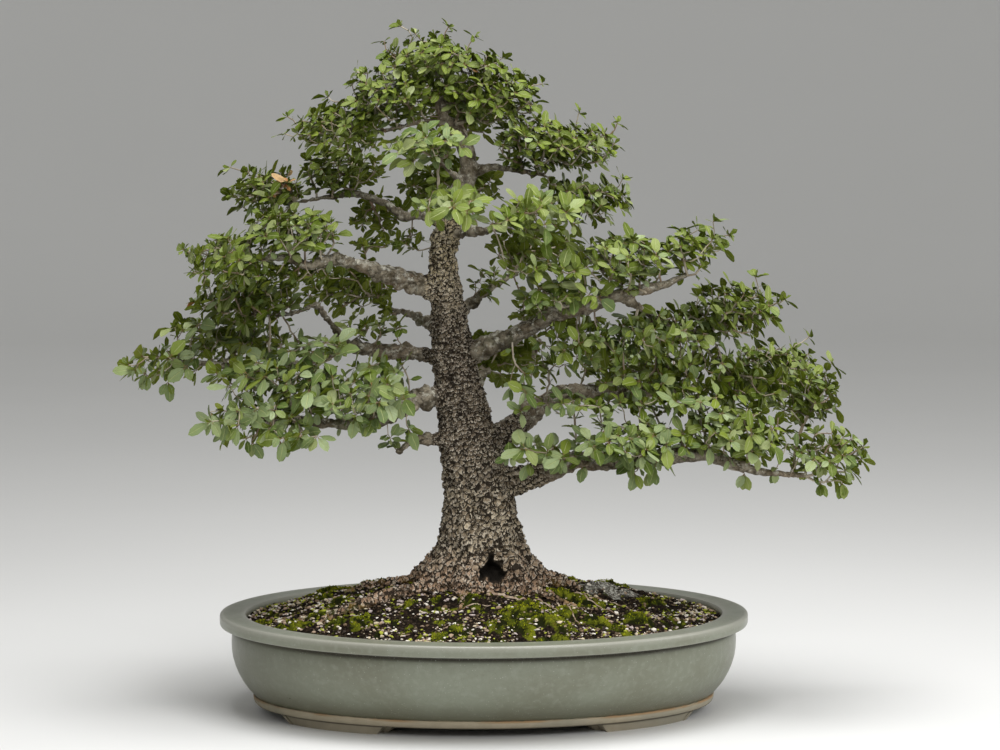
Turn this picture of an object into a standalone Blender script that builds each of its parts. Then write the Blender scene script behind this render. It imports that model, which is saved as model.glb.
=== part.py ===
"""Live oak bonsai in an oval glazed pot, at its real size.

The tree stands upright, +Z up, and the pot rests on four feet at height zero. +X is the tree's
right-hand side as it is shown, and -Y is its front. Sizes are written in millimetres and turned
into metres by MM.
"""
import math
import random

import bmesh
import bpy
from mathutils import Matrix, Vector, noise
from mathutils.bvhtree import BVHTree

MM = 0.001
GAP = 0.35 * MM                  # clearance between pieces that lie against each other

# The pot's centre, set so that the origin lies under the middle of the whole crown
POT_X = -12 * MM
POT_Y = 0 * MM

# Pot
POT_LENGTH = 480 * MM            # over the rim
POT_DEPTH = 372 * MM             # over the rim
POT_HEIGHT = 90 * MM
POT_FACETS = 40                  # round the oval, so that the feet begin and end on a facet
RIM_HEIGHT = 11 * MM
RIM_WIDTH = 23 * MM
FRONT_LEAN = 21 * MM             # how much further front and back draw in, at the table
LEAN_BELOW = 75 * MM             # the wall stands straight above this height
FLOOR_THICKNESS = 10 * MM
FOOT_HEIGHT = 8 * MM
FOOT_INSET = 33 * MM             # from the rim's edge to the base band's lower edge
FOOT_WIDTH = 27 * MM
FOOT_FIRST_FACET = 3             # facets of each quarter that carry a foot
FOOT_LAST_FACET = 6
FOOT_TAPER = 0.86                # size of a foot's sole against its top
DRAIN_RADIUS = 11 * MM
DRAIN_X = 95 * MM                # each side of the middle
DRILL_DEPTH = 40 * MM
DRILL_SIDES = 16
SCREEN_SIZE = 44 * MM
SCREEN_THICKNESS = 1.2 * MM
SCREEN_CELLS = 2
SCREEN_BAR = 3 * MM

# Soil
SOIL_EDGE_Z = 83 * MM            # level along the pot's wall
SOIL_EDGE_INSET = RIM_WIDTH + 1.5 * MM
SOIL_RISE = 34 * MM              # height of the mound over that level
SOIL_ROWS = (0.76, 0.52, 0.15)   # rows of the mound between its edge and its middle
MOSS_CUSHIONS = (                # x, y, radius and height in millimetres
    (40, -92, 26, 6), (75, -70, 20, 5), (8, -105, 22, 4), (-80, -85, 24, 4),
    (-120, -40, 22, 5), (110, -35, 20, 4), (130, 25, 24, 5), (60, 95, 26, 5),
    (-50, 105, 24, 5), (-140, 45, 20, 4), (20, -66, 18, 5), (-30, -108, 18, 3),
)

# The tree is planted a little turned from the pot's long axis, and leans a little to the left
TREE_TURN = math.radians(-3.8)
TREE_LEAN = math.radians(-0.66)
LEAN_PIVOT_Z = 100 * MM

# Trunk: x, y, z and mean radius in millimetres, from the root flare to the leader's tip
TRUNK_ROUTE = (
    (-2, 4, 84, 44), (-3, 4, 105, 47), (-3, 3, 120, 45), (-3, 3, 135, 41), (-3, 2, 150, 37),
    (-3, 2, 178, 33.5), (-4, 1, 208, 31.5), (-11, 0, 237, 28), (-17, -1, 272, 23.5),
    (-22, -2, 302, 21.5), (-26, -2, 331, 19), (-30, -2, 361, 16.5), (-33, -3, 388, 15),
    (-34, -4, 415, 13.5), (-30, -6, 442, 12), (-20, -9, 464, 10), (-10, -12, 491, 7.5),
    (-12, -14, 509, 6), (-22, -16, 527, 5), (-34, -18, 545, 4), (-38, -20, 567, 3),
    (-36, -22, 590, 2.2),
)
BOLE_TOP = 330 * MM              # the bole has deep bark up to here
STEM_TOP = 470 * MM              # then finer bark, and above it a plain leader
BOLE_FACETS = 28
STEM_FACETS = 18
BOLE_STEP = 20 * MM
STEM_STEP = 18 * MM
HOLE_RINGS = 5                   # rings of the bole that the soil's hole takes in
BARK_DEPTH = 1.3 * MM            # ridge over furrow, each side of the mean surface
BARK_UNEVEN = 0.05               # slow swelling of the trunk's girth
ROUTE_STEP = 3 * MM              # how finely the trunk's middle line is read
LEADER_START = STEM_TOP - 12 * MM
FLARE_REACH = 27 * MM            # how far a buttress stands out at the soil
FLARE_Z = 120 * MM
FLARE_FADE = 19 * MM
FLARE_SPREAD = 0.27              # half width of a buttress, in radians

# Surface roots: x and y along each root, in millimetres, and its two end radii
ROOTS = {
    "left_back": (9, 3.5, ((-48, 8), (-75, 12), (-104, 13), (-134, 10))),
    "left_front": (11, 4, ((-38, -24), (-66, -44), (-98, -62), (-132, -76), (-146, -90))),
    "front": (8, 3, ((-8, -38), (-16, -64), (-22, -92))),
    "right_front": (8, 3, ((30, -30), (54, -56), (82, -78))),
    "right": (10, 3.5, ((44, -2), (74, -6), (104, -16))),
    "back_right": (9, 3.5, ((32, 36), (58, 66), (88, 92))),
    "back_left": (9, 3.5, ((-28, 38), (-56, 72), (-84, 98))),
}
ROOT_LIFT = 2.5 * MM             # root centre over the soil

# Limbs: radius at the trunk and at the tip, then x, y and z along the limb, in millimetres
LIMBS = {
    "left_low": (11, 3.2, ((-14, -2, 276), (-40, -16, 288), (-60, -27, 287), (-75, -38, 277),
                           (-94, -50, 270), (-129, -66, 269), (-162, -80, 275), (-196, -86, 272))),
    "left_stub": (8, 3.6, ((-12, -4, 246), (-42, -12, 249), (-62, -22, 250), (-76, -33, 240))),
    "left_wide": (8, 2.4, ((-24, 0, 314), (-52, 10, 324), (-91, 18, 326), (-124, 20, 331),
                           (-163, 19, 315), (-204, 12, 310), (-240, 2, 317), (-282, -6, 322))),
    "left_fork": (4.4, 2.4, ((-122, 20, 330), (-136, 14, 352), (-150, 5, 370), (-172, -8, 362),
                             (-208, -18, 364))),
    "left_high": (9.5, 3, ((-34, -4, 380), (-60, -16, 391), (-84, -25, 399), (-112, -36, 409),
                           (-130, -44, 414), (-154, -54, 409), (-172, -60, 417),
                           (-206, -64, 418))),
    "left_upper": (6.5, 2.4, ((-32, -2, 444), (-52, 12, 450), (-70, 20, 448), (-86, 27, 460),
                              (-112, 33, 469), (-140, 33, 466), (-176, 26, 460))),
    "left_top": (4, 2, ((-16, -15, 526), (-48, -21, 536), (-74, -27, 529), (-112, -33, 522))),
    "right_low": (12, 3, ((0, 0, 204), (30, -4, 209), (56, -18, 219), (84, -34, 231),
                          (98, -42, 232), (131, -52, 230), (166, -60, 237), (200, -64, 239),
                          (218, -64, 231), (250, -60, 222), (288, -53, 218))),
    "right_mid": (12, 3, ((-8, 8, 236), (18, 26, 248), (40, 40, 262), (64, 54, 279),
                          (80, 60, 283), (110, 70, 282), (140, 76, 280), (178, 82, 282),
                          (222, 80, 286))),
    "right_riser": (5, 2.4, ((36, 38, 260), (42, 60, 288), (46, 76, 310), (54, 88, 332))),
    "right_high": (10.5, 3, ((-26, -4, 318), (-2, -20, 330), (28, -32, 343), (62, -42, 362),
                             (98, -50, 373), (122, -52, 381), (142, -52, 385), (166, -49, 390),
                             (184, -46, 399))),
    "right_spur": (4.6, 2.4, ((124, -52, 380), (146, -36, 364), (170, -25, 348), (204, -14, 341))),
    "front": (7, 3, ((-34, -4, 424), (-22, -22, 434), (-4, -46, 438), (14, -70, 440))),
    "right_top": (5.4, 2.2, ((-11, -12, 488), (10, -20, 494), (34, -27, 491), (64, -34, 484))),
    "front_top": (4.4, 2.2, ((-14, -11, 478), (-26, -34, 490), (-36, -58, 500))),
    "back_low": (9, 3, ((-14, 2, 262), (-12, 40, 276), (-4, 76, 292), (4, 112, 300))),
    "back_left": (8, 2.8, ((-24, 0, 330), (-44, 36, 346), (-66, 70, 356), (-84, 98, 358))),
    "back_right": (7.5, 2.8, ((-28, 0, 352), (-8, 34, 370), (14, 62, 384), (32, 86, 392))),
    "back_high": (5.6, 2.4, ((-32, -4, 430), (-30, 30, 446), (-22, 58, 456))),
    "back_top": (4, 2, ((-12, -12, 496), (-10, 16, 514), (-16, 36, 528))),
}
THIN_LIMB = 9                    # limbs under this radius at the trunk are six-sided
LIMB_STEP = 27 * MM
LIMB_TAPER = 0.8                 # under 1, so that a limb thins mostly near its tip
COLLAR = 0.35                    # extra girth of a limb where it leaves the trunk
KNUCKLE = 0.14                   # how far a limb's girth swells and shrinks

# Sprays: the limb each grows from, then the middle and the half size of the space that its
# leaves fill, in millimetres
SPRAYS = {
    "spray_left_low_inner": ("left_low", (-120, -72, 290), (58, 48, 32)),
    "spray_left_low_outer": ("left_low", (-200, -92, 262), (42, 48, 30)),
    "spray_left_low_top": ("left_low", (-186, -62, 306), (52, 46, 20)),
    "spray_left_stub": ("left_stub", (-92, -42, 236), (26, 28, 14)),
    "spray_left_wide_tip": ("left_wide", (-288, -6, 318), (41, 42, 24)),
    "spray_left_wide_mid": ("left_wide", (-226, 36, 334), (48, 44, 20)),
    "spray_left_fork": ("left_fork", (-206, -10, 372), (54, 48, 20)),
    "spray_left_high_tip": ("left_high", (-228, -64, 412), (40, 50, 32)),
    "spray_left_high_mid": ("left_high", (-166, -58, 436), (40, 48, 24)),
    "spray_left_upper_tip": ("left_upper", (-196, 22, 470), (38, 46, 26)),
    "spray_left_upper_mid": ("left_upper", (-128, 34, 490), (42, 46, 22)),
    "spray_left_top": ("left_top", (-134, -36, 530), (42, 44, 24)),
    "spray_crown_left": ("left_top", (-82, -30, 560), (42, 46, 24)),
    "spray_crown_tip": ("leader", (-46, -24, 604), (44, 42, 30)),
    "spray_crown_right": ("leader", (14, -22, 556), (44, 46, 26)),
    "spray_crown_front": ("front_top", (-44, -74, 512), (46, 36, 24)),
    "spray_right_top_tip": ("right_top", (92, -36, 508), (40, 42, 26)),
    "spray_right_top_mid": ("right_top", (48, -36, 516), (36, 42, 24)),
    "spray_right_top_low": ("right_top", (100, -36, 462), (34, 40, 20)),
    "spray_front_left": ("front", (-28, -88, 462), (36, 36, 22)),
    "spray_front_right": ("front", (46, -86, 450), (40, 40, 24)),
    "spray_right_high_tip": ("right_high", (194, -44, 420), (28, 36, 22)),
    "spray_right_high_mid": ("right_high", (128, -52, 408), (48, 46, 22)),
    "spray_right_high_low": ("right_high", (72, -72, 382), (40, 36, 20)),
    "spray_right_spur_tip": ("right_spur", (234, -12, 356), (46, 46, 28)),
    "spray_right_spur_mid": ("right_spur", (160, -34, 340), (40, 46, 20)),
    "spray_right_mid_inner": ("right_mid", (136, 78, 304), (52, 46, 24)),
    "spray_right_mid_tip": ("right_mid", (262, 66, 300), (54, 50, 32)),
    "spray_right_riser": ("right_riser", (62, 94, 350), (40, 40, 24)),
    "spray_right_low_inner": ("right_low", (52, -56, 238), (38, 30, 22)),
    "spray_right_low_mid": ("right_low", (136, -72, 252), (50, 40, 22)),
    "spray_right_low_outer": ("right_low", (228, -58, 256), (52, 46, 26)),
    "spray_right_low_tip": ("right_low", (314, -46, 230), (42, 42, 32)),
    "spray_back_low": ("back_low", (4, 142, 312), (62, 46, 26)),
    "spray_back_left": ("back_left", (-104, 122, 366), (50, 44, 26)),
    "spray_back_right": ("back_right", (40, 112, 408), (52, 44, 26)),
    "spray_back_high": ("back_high", (-28, 90, 470), (52, 42, 28)),
    "spray_back_top": ("back_top", (-20, 58, 540), (40, 40, 26)),
}
CLUMP_SPACE = 41                 # a spray whose half length is under this carries one clump
LEAVES = 5                       # leaves in a clump, joined at its hub
LEAF_LENGTH = 25 * MM
LEAF_STATIONS = ((0.34, 5.7), (0.74, 6))   # place along a leaf, and half width in millimetres
LEAF_REACH = 20 * MM             # from a clump's middle to the edge of its spray's space
LEAF_ARCH = 3.5 * MM             # how far a leaf's tip bends below its root
LEAF_THICKNESS = 0.7 * MM
LEAF_VARY = (0.82, 1.08)         # shortest and longest leaf against the usual length
LEAF_SLOPE = (-0.35, 0.3)        # how far leaves hang or rise from their clump's plane
CLUMP_OUTWARD = (0.4, 1.1)       # how far a clump faces away from the spray's middle
CLUMP_UPWARD = (0.6, 1.1)        # how far it faces up
HUB_RADIUS = 1.9 * MM            # ring of leaf roots round the twig
STEM_RADIUS = 1.8 * MM
STEM_RISE = 5 * MM               # straight out of the bark, before it bends
STEM_SEARCH = 22 * MM            # how far out of a limb's middle its surface is looked for
TWIG_SINK = 2 * MM               # how far a twig's root goes into its stem
TWIG_TAPER = 0.75                # girth of a twig at its root against the ring of leaf roots
TRIES = 30                       # places tried for each clump before it is left out


def make_material(name, colour, roughness):
    """A plain Principled material."""
    material = bpy.data.materials.new(name)
    material.use_nodes = True
    shader = material.node_tree.nodes["Principled BSDF"]
    shader.inputs["Base Color"].default_value = (*colour, 1)
    shader.inputs["Roughness"].default_value = roughness
    material.diffuse_color = (*colour, 1)
    return material


def add_object(name, data, collection, material=None):
    """Put a mesh or a curve in the scene as a named object."""
    item = bpy.data.objects.new(name, data)
    collection.objects.link(item)
    if material:
        data.materials.clear()
        data.materials.append(material)
    return item


def solid(name, source, collection, material=None, weld=False):
    """Replace a curve, or an object with modifiers, by the plain mesh that it evaluates to."""
    bpy.context.view_layer.update()
    graph = bpy.context.evaluated_depsgraph_get()
    mesh = bpy.data.meshes.new_from_object(source.evaluated_get(graph))
    mesh.name = name
    if weld:
        work = bmesh.new()
        work.from_mesh(mesh)
        bmesh.ops.remove_doubles(work, verts=work.verts, dist=0.02 * MM)
        work.to_mesh(mesh)
        work.free()
    matrix = source.matrix_world.copy()
    bpy.data.objects.remove(source)
    item = add_object(name, mesh, collection, material)
    item.matrix_world = matrix
    return item


def smooth_route(points, step):
    """Points about a step apart on a smooth curve through the given ones, each a Vector."""
    ends = [2 * points[0] - points[1], *points, 2 * points[-1] - points[-2]]
    route = [points[0]]
    for before, start, end, after in zip(ends, ends[1:], ends[2:], ends[3:]):
        pieces = max(1, round((end - start).length / step))
        for k in range(1, pieces + 1):
            t = k / pieces
            bend = (2 * start + (end - before) * t
                    + (2 * before - 5 * start + 4 * end - after) * t ** 2
                    + (3 * start - before - 3 * end + after) * t ** 3)
            route.append(bend / 2)
    return route


def tube(name, route, radii, sides, collection):
    """A solid tube along a route, with a radius for each of its points."""
    curve = bpy.data.curves.new(name, "CURVE")
    curve.dimensions = "3D"
    curve.bevel_depth = 1
    curve.bevel_resolution = sides // 2 - 2
    curve.use_fill_caps = True
    spline = curve.splines.new("POLY")
    spline.points.add(len(route) - 1)
    for point, place, radius in zip(spline.points, route, radii):
        point.co = (*place, 1)
        point.radius = radius
    return solid(name, add_object(name, curve, collection), collection, weld=True)


def loft(name, rings, collection, material=None):
    """A closed solid through rings of points, with a flat face at each end."""
    work = bmesh.new()
    rows = [[work.verts.new(point) for point in ring] for ring in rings]
    count = len(rows[0])
    for lower, upper in zip(rows, rows[1:]):
        for k in range(count):
            after = (k + 1) % count
            work.faces.new((lower[k], lower[after], upper[k]))
            work.faces.new((lower[after], upper[after], upper[k]))
    work.faces.new(reversed(rows[0]))
    work.faces.new(rows[-1])
    mesh = bpy.data.meshes.new(name)
    work.to_mesh(mesh)
    work.free()
    return add_object(name, mesh, collection, material)


def unite(base, others, name, collection, material):
    """Join solids that cross each other into one body by one Boolean union."""
    group = bpy.data.collections.new(name + "_pieces")
    bpy.context.scene.collection.children.link(group)
    for item in others:
        for owner in list(item.users_collection):
            owner.objects.unlink(item)
        group.objects.link(item)
    union = base.modifiers.new("join", "BOOLEAN")
    union.operation = "UNION"
    union.operand_type = "COLLECTION"
    union.collection = group
    union.solver = "MANIFOLD"
    joined = solid(name, base, collection, material)
    for item in list(group.objects):
        bpy.data.objects.remove(item)
    bpy.data.collections.remove(group)
    return joined


def surface_of(item):
    """A search tree of an object's faces."""
    return BVHTree.FromPolygons([item.matrix_world @ v.co for v in item.data.vertices],
                                [p.vertices for p in item.data.polygons])


PLANTING = (Matrix.Translation((0, 0, LEAN_PIVOT_Z)) @ Matrix.Rotation(TREE_TURN, 4, "Z")
            @ Matrix.Rotation(TREE_LEAN, 4, "Y") @ Matrix.Translation((0, 0, -LEAN_PIVOT_Z)))


def planted(x, y, z=LEAN_PIVOT_Z / MM):
    """A place of the tree, given in its own millimetres, as it stands in the pot."""
    return PLANTING @ (Vector((x, y, z)) * MM)


# The pot's ovals

SIDE_OFFSET = (POT_LENGTH - POT_DEPTH) / 2
FLAT_RADIUS = POT_LENGTH / 2 - FOOT_INSET - FOOT_WIDTH


def oval_point(inset, angle, z):
    """A point on the oval that lies a given distance inside the rim's outer edge."""
    radius = POT_LENGTH / 2 - inset
    lean = FRONT_LEAN * max(0, 1 - z / LEAN_BELOW) ** 1.5
    across = radius - SIDE_OFFSET - lean
    if radius < FLAT_RADIUS:
        across = radius * (FLAT_RADIUS - SIDE_OFFSET - lean) / FLAT_RADIUS
    return Vector((radius * math.cos(angle), across * math.sin(angle), z))


def oval_reach(x, y, inset):
    """How far out a point lies: 0 in the middle, 1 on the oval at that inset."""
    radius = POT_LENGTH / 2 - inset
    return math.hypot(x / radius, y / (radius - SIDE_OFFSET))


# The pot's inner wall, as inset from the rim's edge and height, in millimetres
INNER_WALL = ((42, 18), (27, 34), (24.5, 84))


def build_pot(collection, cutters, material):
    """The pot: a turned profile drawn out to an oval, with feet and two drainage holes."""
    top = POT_HEIGHT / MM
    under_rim = top - RIM_HEIGHT / MM
    foot = FOOT_INSET / MM
    width = RIM_WIDTH / MM
    base = FOOT_HEIGHT / MM
    rim = ((width, top), (1.8, top), (0, top - 1.8), (0, under_rim + 1), (1.4, under_rim))
    wall = ((12.6, under_rim - 0.4), (10.8, under_rim - 5), (10.8, 59), (14, 43.5),
            (18.5, 32.5), (24.6, 23.5), (31.4, 15.5), (31.6, 12), (foot, base))
    floor = INNER_WALL[0][1]
    middle = POT_LENGTH / MM / 2
    profile = [(middle, floor), *INNER_WALL, *rim, *wall, (foot + FOOT_WIDTH / MM, base),
               (middle, base)]

    outline = bmesh.new()
    row = [outline.verts.new((POT_LENGTH / 2 - inset * MM, 0, z * MM)) for inset, z in profile]
    for start, end in zip(row, row[1:]):
        outline.edges.new((start, end))
    mesh = bpy.data.meshes.new("pot_profile")
    outline.to_mesh(mesh)
    outline.free()
    turned = add_object("pot_profile", mesh, collection)
    screw = turned.modifiers.new("turn", "SCREW")
    screw.steps = POT_FACETS
    screw.render_steps = POT_FACETS
    screw.use_merge_vertices = True
    screw.merge_threshold = 0.00005
    pot = solid("pot", turned, collection, material, weld=True)

    work = bmesh.new()
    work.from_mesh(pot.data)
    for vert in work.verts:
        radius = math.hypot(vert.co.x, vert.co.y)
        angle = math.atan2(vert.co.y, vert.co.x)
        vert.co = oval_point(POT_LENGTH / 2 - radius, angle, vert.co.z)
    for level in (FLOOR_THICKNESS + FOOT_HEIGHT, FOOT_HEIGHT):
        middle = [f for f in work.faces if all(abs(v.co.z - level) < 0.01 * MM for v in f.verts)
                  and min(Vector(v.co.xy).length for v in f.verts) < MM]
        bmesh.ops.dissolve_faces(work, faces=middle)
    add_feet(work)
    work.to_mesh(pot.data)
    work.free()

    for side in (-1, 1):
        bpy.ops.mesh.primitive_cylinder_add(vertices=DRILL_SIDES, radius=DRAIN_RADIUS,
                                            depth=DRILL_DEPTH,
                                            location=(side * DRAIN_X, 0, FOOT_HEIGHT))
        drill = bpy.context.object
        drill.name = "drain_drill_left" if side < 0 else "drain_drill_right"
        hide_cutter(drill, cutters)
        hole = pot.modifiers.new(drill.name, "BOOLEAN")
        hole.operation = "DIFFERENCE"
        hole.object = drill
    return solid("pot", pot, collection, material)


def add_feet(work):
    """Draw four feet down from the pot's underside, each a little smaller at its sole."""
    step = 2 * math.pi / POT_FACETS
    middle_inset = FOOT_INSET + FOOT_WIDTH / 2
    for side_x in (-1, 1):
        for side_y in (-1, 1):
            patch = []
            for k in range(FOOT_FIRST_FACET, FOOT_LAST_FACET + 1):
                centre = oval_point(middle_inset, (k + 0.5) * step, FOOT_HEIGHT)
                centre.x *= side_x
                centre.y *= side_y
                patch.append(min((f for f in work.faces if f.normal.z < -0.9),
                                 key=lambda f: (f.calc_center_median() - centre).length))
            drawn = bmesh.ops.extrude_face_region(work, geom=patch)["geom"]
            bmesh.ops.delete(work, geom=patch, context="FACES_ONLY")
            verts = [item for item in drawn if isinstance(item, bmesh.types.BMVert)]
            centre = sum((v.co for v in verts), Vector()) / len(verts)
            for vert in verts:
                vert.co.xy = centre.xy + (vert.co.xy - centre.xy) * FOOT_TAPER
                vert.co.z = 0
    work.normal_update()


def hide_cutter(item, cutters):
    """Keep a cutting shape out of the model."""
    for owner in list(item.users_collection):
        owner.objects.unlink(item)
    cutters.objects.link(item)
    item.hide_render = True
    item.display_type = "WIRE"


def build_screens(collection, material):
    """Two square plastic meshes that lie on the floor over the drainage holes."""
    half = SCREEN_SIZE / 2
    hole = (SCREEN_SIZE - SCREEN_BAR * (SCREEN_CELLS + 1)) / SCREEN_CELLS
    squares = [(0, 0, half)]
    for i in range(SCREEN_CELLS):
        for j in range(SCREEN_CELLS):
            low = -half + SCREEN_BAR + hole / 2
            squares.append((low + i * (hole + SCREEN_BAR), low + j * (hole + SCREEN_BAR), hole / 2))
    for side, name in ((-1, "drain_screen_left"), (1, "drain_screen_right")):
        curve = bpy.data.curves.new(name, "CURVE")
        curve.dimensions = "2D"
        curve.fill_mode = "BOTH"
        curve.extrude = SCREEN_THICKNESS / 2
        for x, y, reach in squares:
            spline = curve.splines.new("POLY")
            spline.points.add(3)
            corners = ((-1, -1), (1, -1), (1, 1), (-1, 1))
            for point, (right, up) in zip(spline.points, corners):
                point.co = (x + right * reach, y + up * reach, 0, 1)
            spline.use_cyclic_u = True
        flat = add_object(name, curve, collection)
        screen = solid(name, flat, collection, material, weld=True)
        screen.location = (side * DRAIN_X, 0,
                           FOOT_HEIGHT + FLOOR_THICKNESS + GAP + SCREEN_THICKNESS / 2)


# Soil

def soil_height(x, y):
    """Level of the soil at a place: the mound round the trunk, with moss cushions on it."""
    reach = min(1, oval_reach(x, y, SOIL_EDGE_INSET))
    height = SOIL_EDGE_Z + SOIL_RISE * (1 - reach ** 2)
    for moss_x, moss_y, radius, rise in MOSS_CUSHIONS:
        moss = planted(moss_x, moss_y)
        away = math.hypot(x - moss.x, y - moss.y) / (radius * MM)
        height += rise * MM * math.exp(-away ** 2)
    return height


def build_soil(collection, cutters, tree, material):
    """The soil: it fills the pot inside the wall's clearance, with a hole for tree and screens."""
    step = 2 * math.pi / POT_FACETS
    rings = []
    for inset, z in INNER_WALL:
        level = z * MM + (GAP if z == INNER_WALL[0][1] else 0)
        rings.append([oval_point(inset * MM + GAP * 1.4, k * step, level)
                      for k in range(POT_FACETS)])
    rings[-1] = [Vector((p.x, p.y, soil_height(p.x, p.y))) for p in rings[-1]]
    edge = rings[-1]
    for scale in SOIL_ROWS:
        ring = [Vector((p.x * scale, p.y * scale, 0)) for p in edge]
        rings.append([Vector((p.x, p.y, soil_height(p.x, p.y))) for p in ring])
    soil = loft("soil", rings, collection, material)

    hollow = soil.modifiers.new("tree", "BOOLEAN")
    hollow.operation = "DIFFERENCE"
    hollow.solver = "MANIFOLD"
    hollow.object = tree
    hide_cutter(tree, cutters)
    for side in (-1, 1):
        bpy.ops.mesh.primitive_cube_add(size=1, location=(side * DRAIN_X, 0, FOOT_HEIGHT
                                                          + FLOOR_THICKNESS))
        seat = bpy.context.object
        seat.name = "screen_seat_left" if side < 0 else "screen_seat_right"
        seat.scale = (SCREEN_SIZE + 2 * GAP, SCREEN_SIZE + 2 * GAP,
                      2 * (SCREEN_THICKNESS + 2 * GAP))
        hide_cutter(seat, cutters)
        recess = soil.modifiers.new(seat.name, "BOOLEAN")
        recess.operation = "DIFFERENCE"
        recess.solver = "MANIFOLD"
        recess.object = seat
    return solid("soil", soil, collection, material)


# Wood

def root_angles():
    """Directions in which the buttresses stand out, one for each surface root."""
    starts = [planted(*route[0]) for _, _, route in ROOTS.values()]
    return [math.atan2(start.y, start.x) for start in starts]


def bark_ring(centre, radius, facets, row):
    """One ring of the trunk: buttresses near the soil and alternate ridges and furrows."""
    flare = FLARE_REACH * math.exp(-(centre.z - FLARE_Z) / FLARE_FADE)
    flare = min(flare, 1.15 * FLARE_REACH)
    depth = BARK_DEPTH * min(1, radius / (20 * MM))
    ring = []
    for k in range(facets):
        angle = 2 * math.pi * k / facets
        lobe = 0
        for root in root_angles():
            away = abs((angle - root + math.pi) % (2 * math.pi) - math.pi)
            lobe = max(lobe, math.exp(-(away / FLARE_SPREAD) ** 2))
        shift = round(1.4 * noise.noise((k * 0.35, row * 0.45, 3.1)) + row * 0.5)
        ridge = depth if (k + shift) % 2 else -depth
        uneven = 1 + BARK_UNEVEN * noise.noise((2 * math.cos(angle), 2 * math.sin(angle), centre.z * 22))
        reach = radius * uneven + flare * lobe + ridge
        ring.append(centre + Vector((reach * math.cos(angle), reach * math.sin(angle), 0)))
    return ring


def trunk_rings(low, high, step, facets):
    """Rings of the trunk between two heights."""
    route = smooth_route([Vector((*planted(*p[:3]), p[3] * MM)) for p in TRUNK_ROUTE], ROUTE_STEP)
    rings = []
    rows = round((high - low) / step)
    for row in range(rows + 1):
        z = low + (high - low) * row / rows
        point = min(route, key=lambda p: abs(p.z - z))
        rings.append(bark_ring(Vector((point.x, point.y, z)), point.w, facets, row))
    return rings


def limb_radii(name, route, start, end):
    """A limb's radii: a collar at the trunk, an even taper, and knuckles along it."""
    radii = []
    seed = list(LIMBS).index(name) if name in LIMBS else len(LIMBS)
    for k in range(len(route)):
        t = k / (len(route) - 1)
        taper = end + (start - end) * (1 - t) ** LIMB_TAPER
        collar = 1 + COLLAR * max(0, 1 - 4 * t)
        knuckle = 1 + KNUCKLE * (-1) ** k * (0.6 + noise.noise((seed, k * 0.7, 0.5)))
        radii.append(taper * collar * (knuckle if 0 < k < len(route) - 1 else 1))
    return radii


def limb_route(name):
    """The middle line of a limb, or of the leader above the trunk."""
    if name == "leader":
        points = [planted(*p[:3]) for p in TRUNK_ROUTE if p[2] * MM > LEADER_START]
    else:
        points = [planted(*point) for point in LIMBS[name][2]]
    return smooth_route(points, LIMB_STEP)


def build_roots(collection, swell=0):
    """Surface roots as loose tubes, half sunk in the soil."""
    roots = []
    for name, (start, end, route) in ROOTS.items():
        flat = smooth_route([planted(x, y) for x, y in route], LIMB_STEP)
        line = [Vector((p.x, p.y, soil_height(p.x, p.y) + ROOT_LIFT)) for p in flat]
        inner = Vector((line[0].x * 0.3, line[0].y * 0.3, line[0].z + 4 * MM))
        line.insert(0, inner)
        last = len(line) - 1
        radii = [(end + (start - end) * (1 - k / last)) * MM + swell for k in range(last + 1)]
        line[-1].z -= ROOT_LIFT + radii[-1] * 0.6
        if swell:
            line[-1] += (line[-1] - line[-2]).normalized() * swell
        roots.append(tube("root_" + name, line, radii, 6, collection))
    return roots


def build_tree(collection, material):
    """Trunk, surface roots and limbs, grown as one piece of wood."""
    low = TRUNK_ROUTE[0][2] * MM
    bole = loft("bole", trunk_rings(low, BOLE_TOP, BOLE_STEP, BOLE_FACETS), collection)
    stem = loft("stem", trunk_rings(BOLE_TOP - 6 * MM, STEM_TOP, STEM_STEP, STEM_FACETS),
                collection)
    leader = limb_route("leader")
    thick = [p[3] * MM for p in TRUNK_ROUTE if p[2] * MM > LEADER_START]
    pieces = [stem, tube("leader", leader, limb_radii("leader", leader, thick[0], thick[-1]),
                         8, collection)]
    for name, (start, end, _) in LIMBS.items():
        route = limb_route(name)
        radii = limb_radii(name, route, start * MM, end * MM)
        sides = 6 if start < THIN_LIMB else 8
        pieces.append(tube("limb_" + name, route, radii, sides, collection))
    pieces += build_roots(collection)
    return unite(bole, pieces, "tree_wood", collection, material)


def build_root_cutter(collection):
    """The hole that trunk and roots stand in: their own shape with the clearance added."""
    rings = trunk_rings(TRUNK_ROUTE[0][2] * MM, BOLE_TOP, BOLE_STEP, BOLE_FACETS)[:HOLE_RINGS]
    wider = []
    for ring in rings:
        centre = sum(ring, Vector()) / len(ring)
        wider.append([p + (p - centre).normalized() * 2 * GAP for p in ring])
    for point in wider[0]:
        point.z -= GAP
    bole = loft("hole", wider, collection)
    return unite(bole, build_roots(collection, GAP * 1.4), "tree_hole", collection, None)


# Foliage

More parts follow.
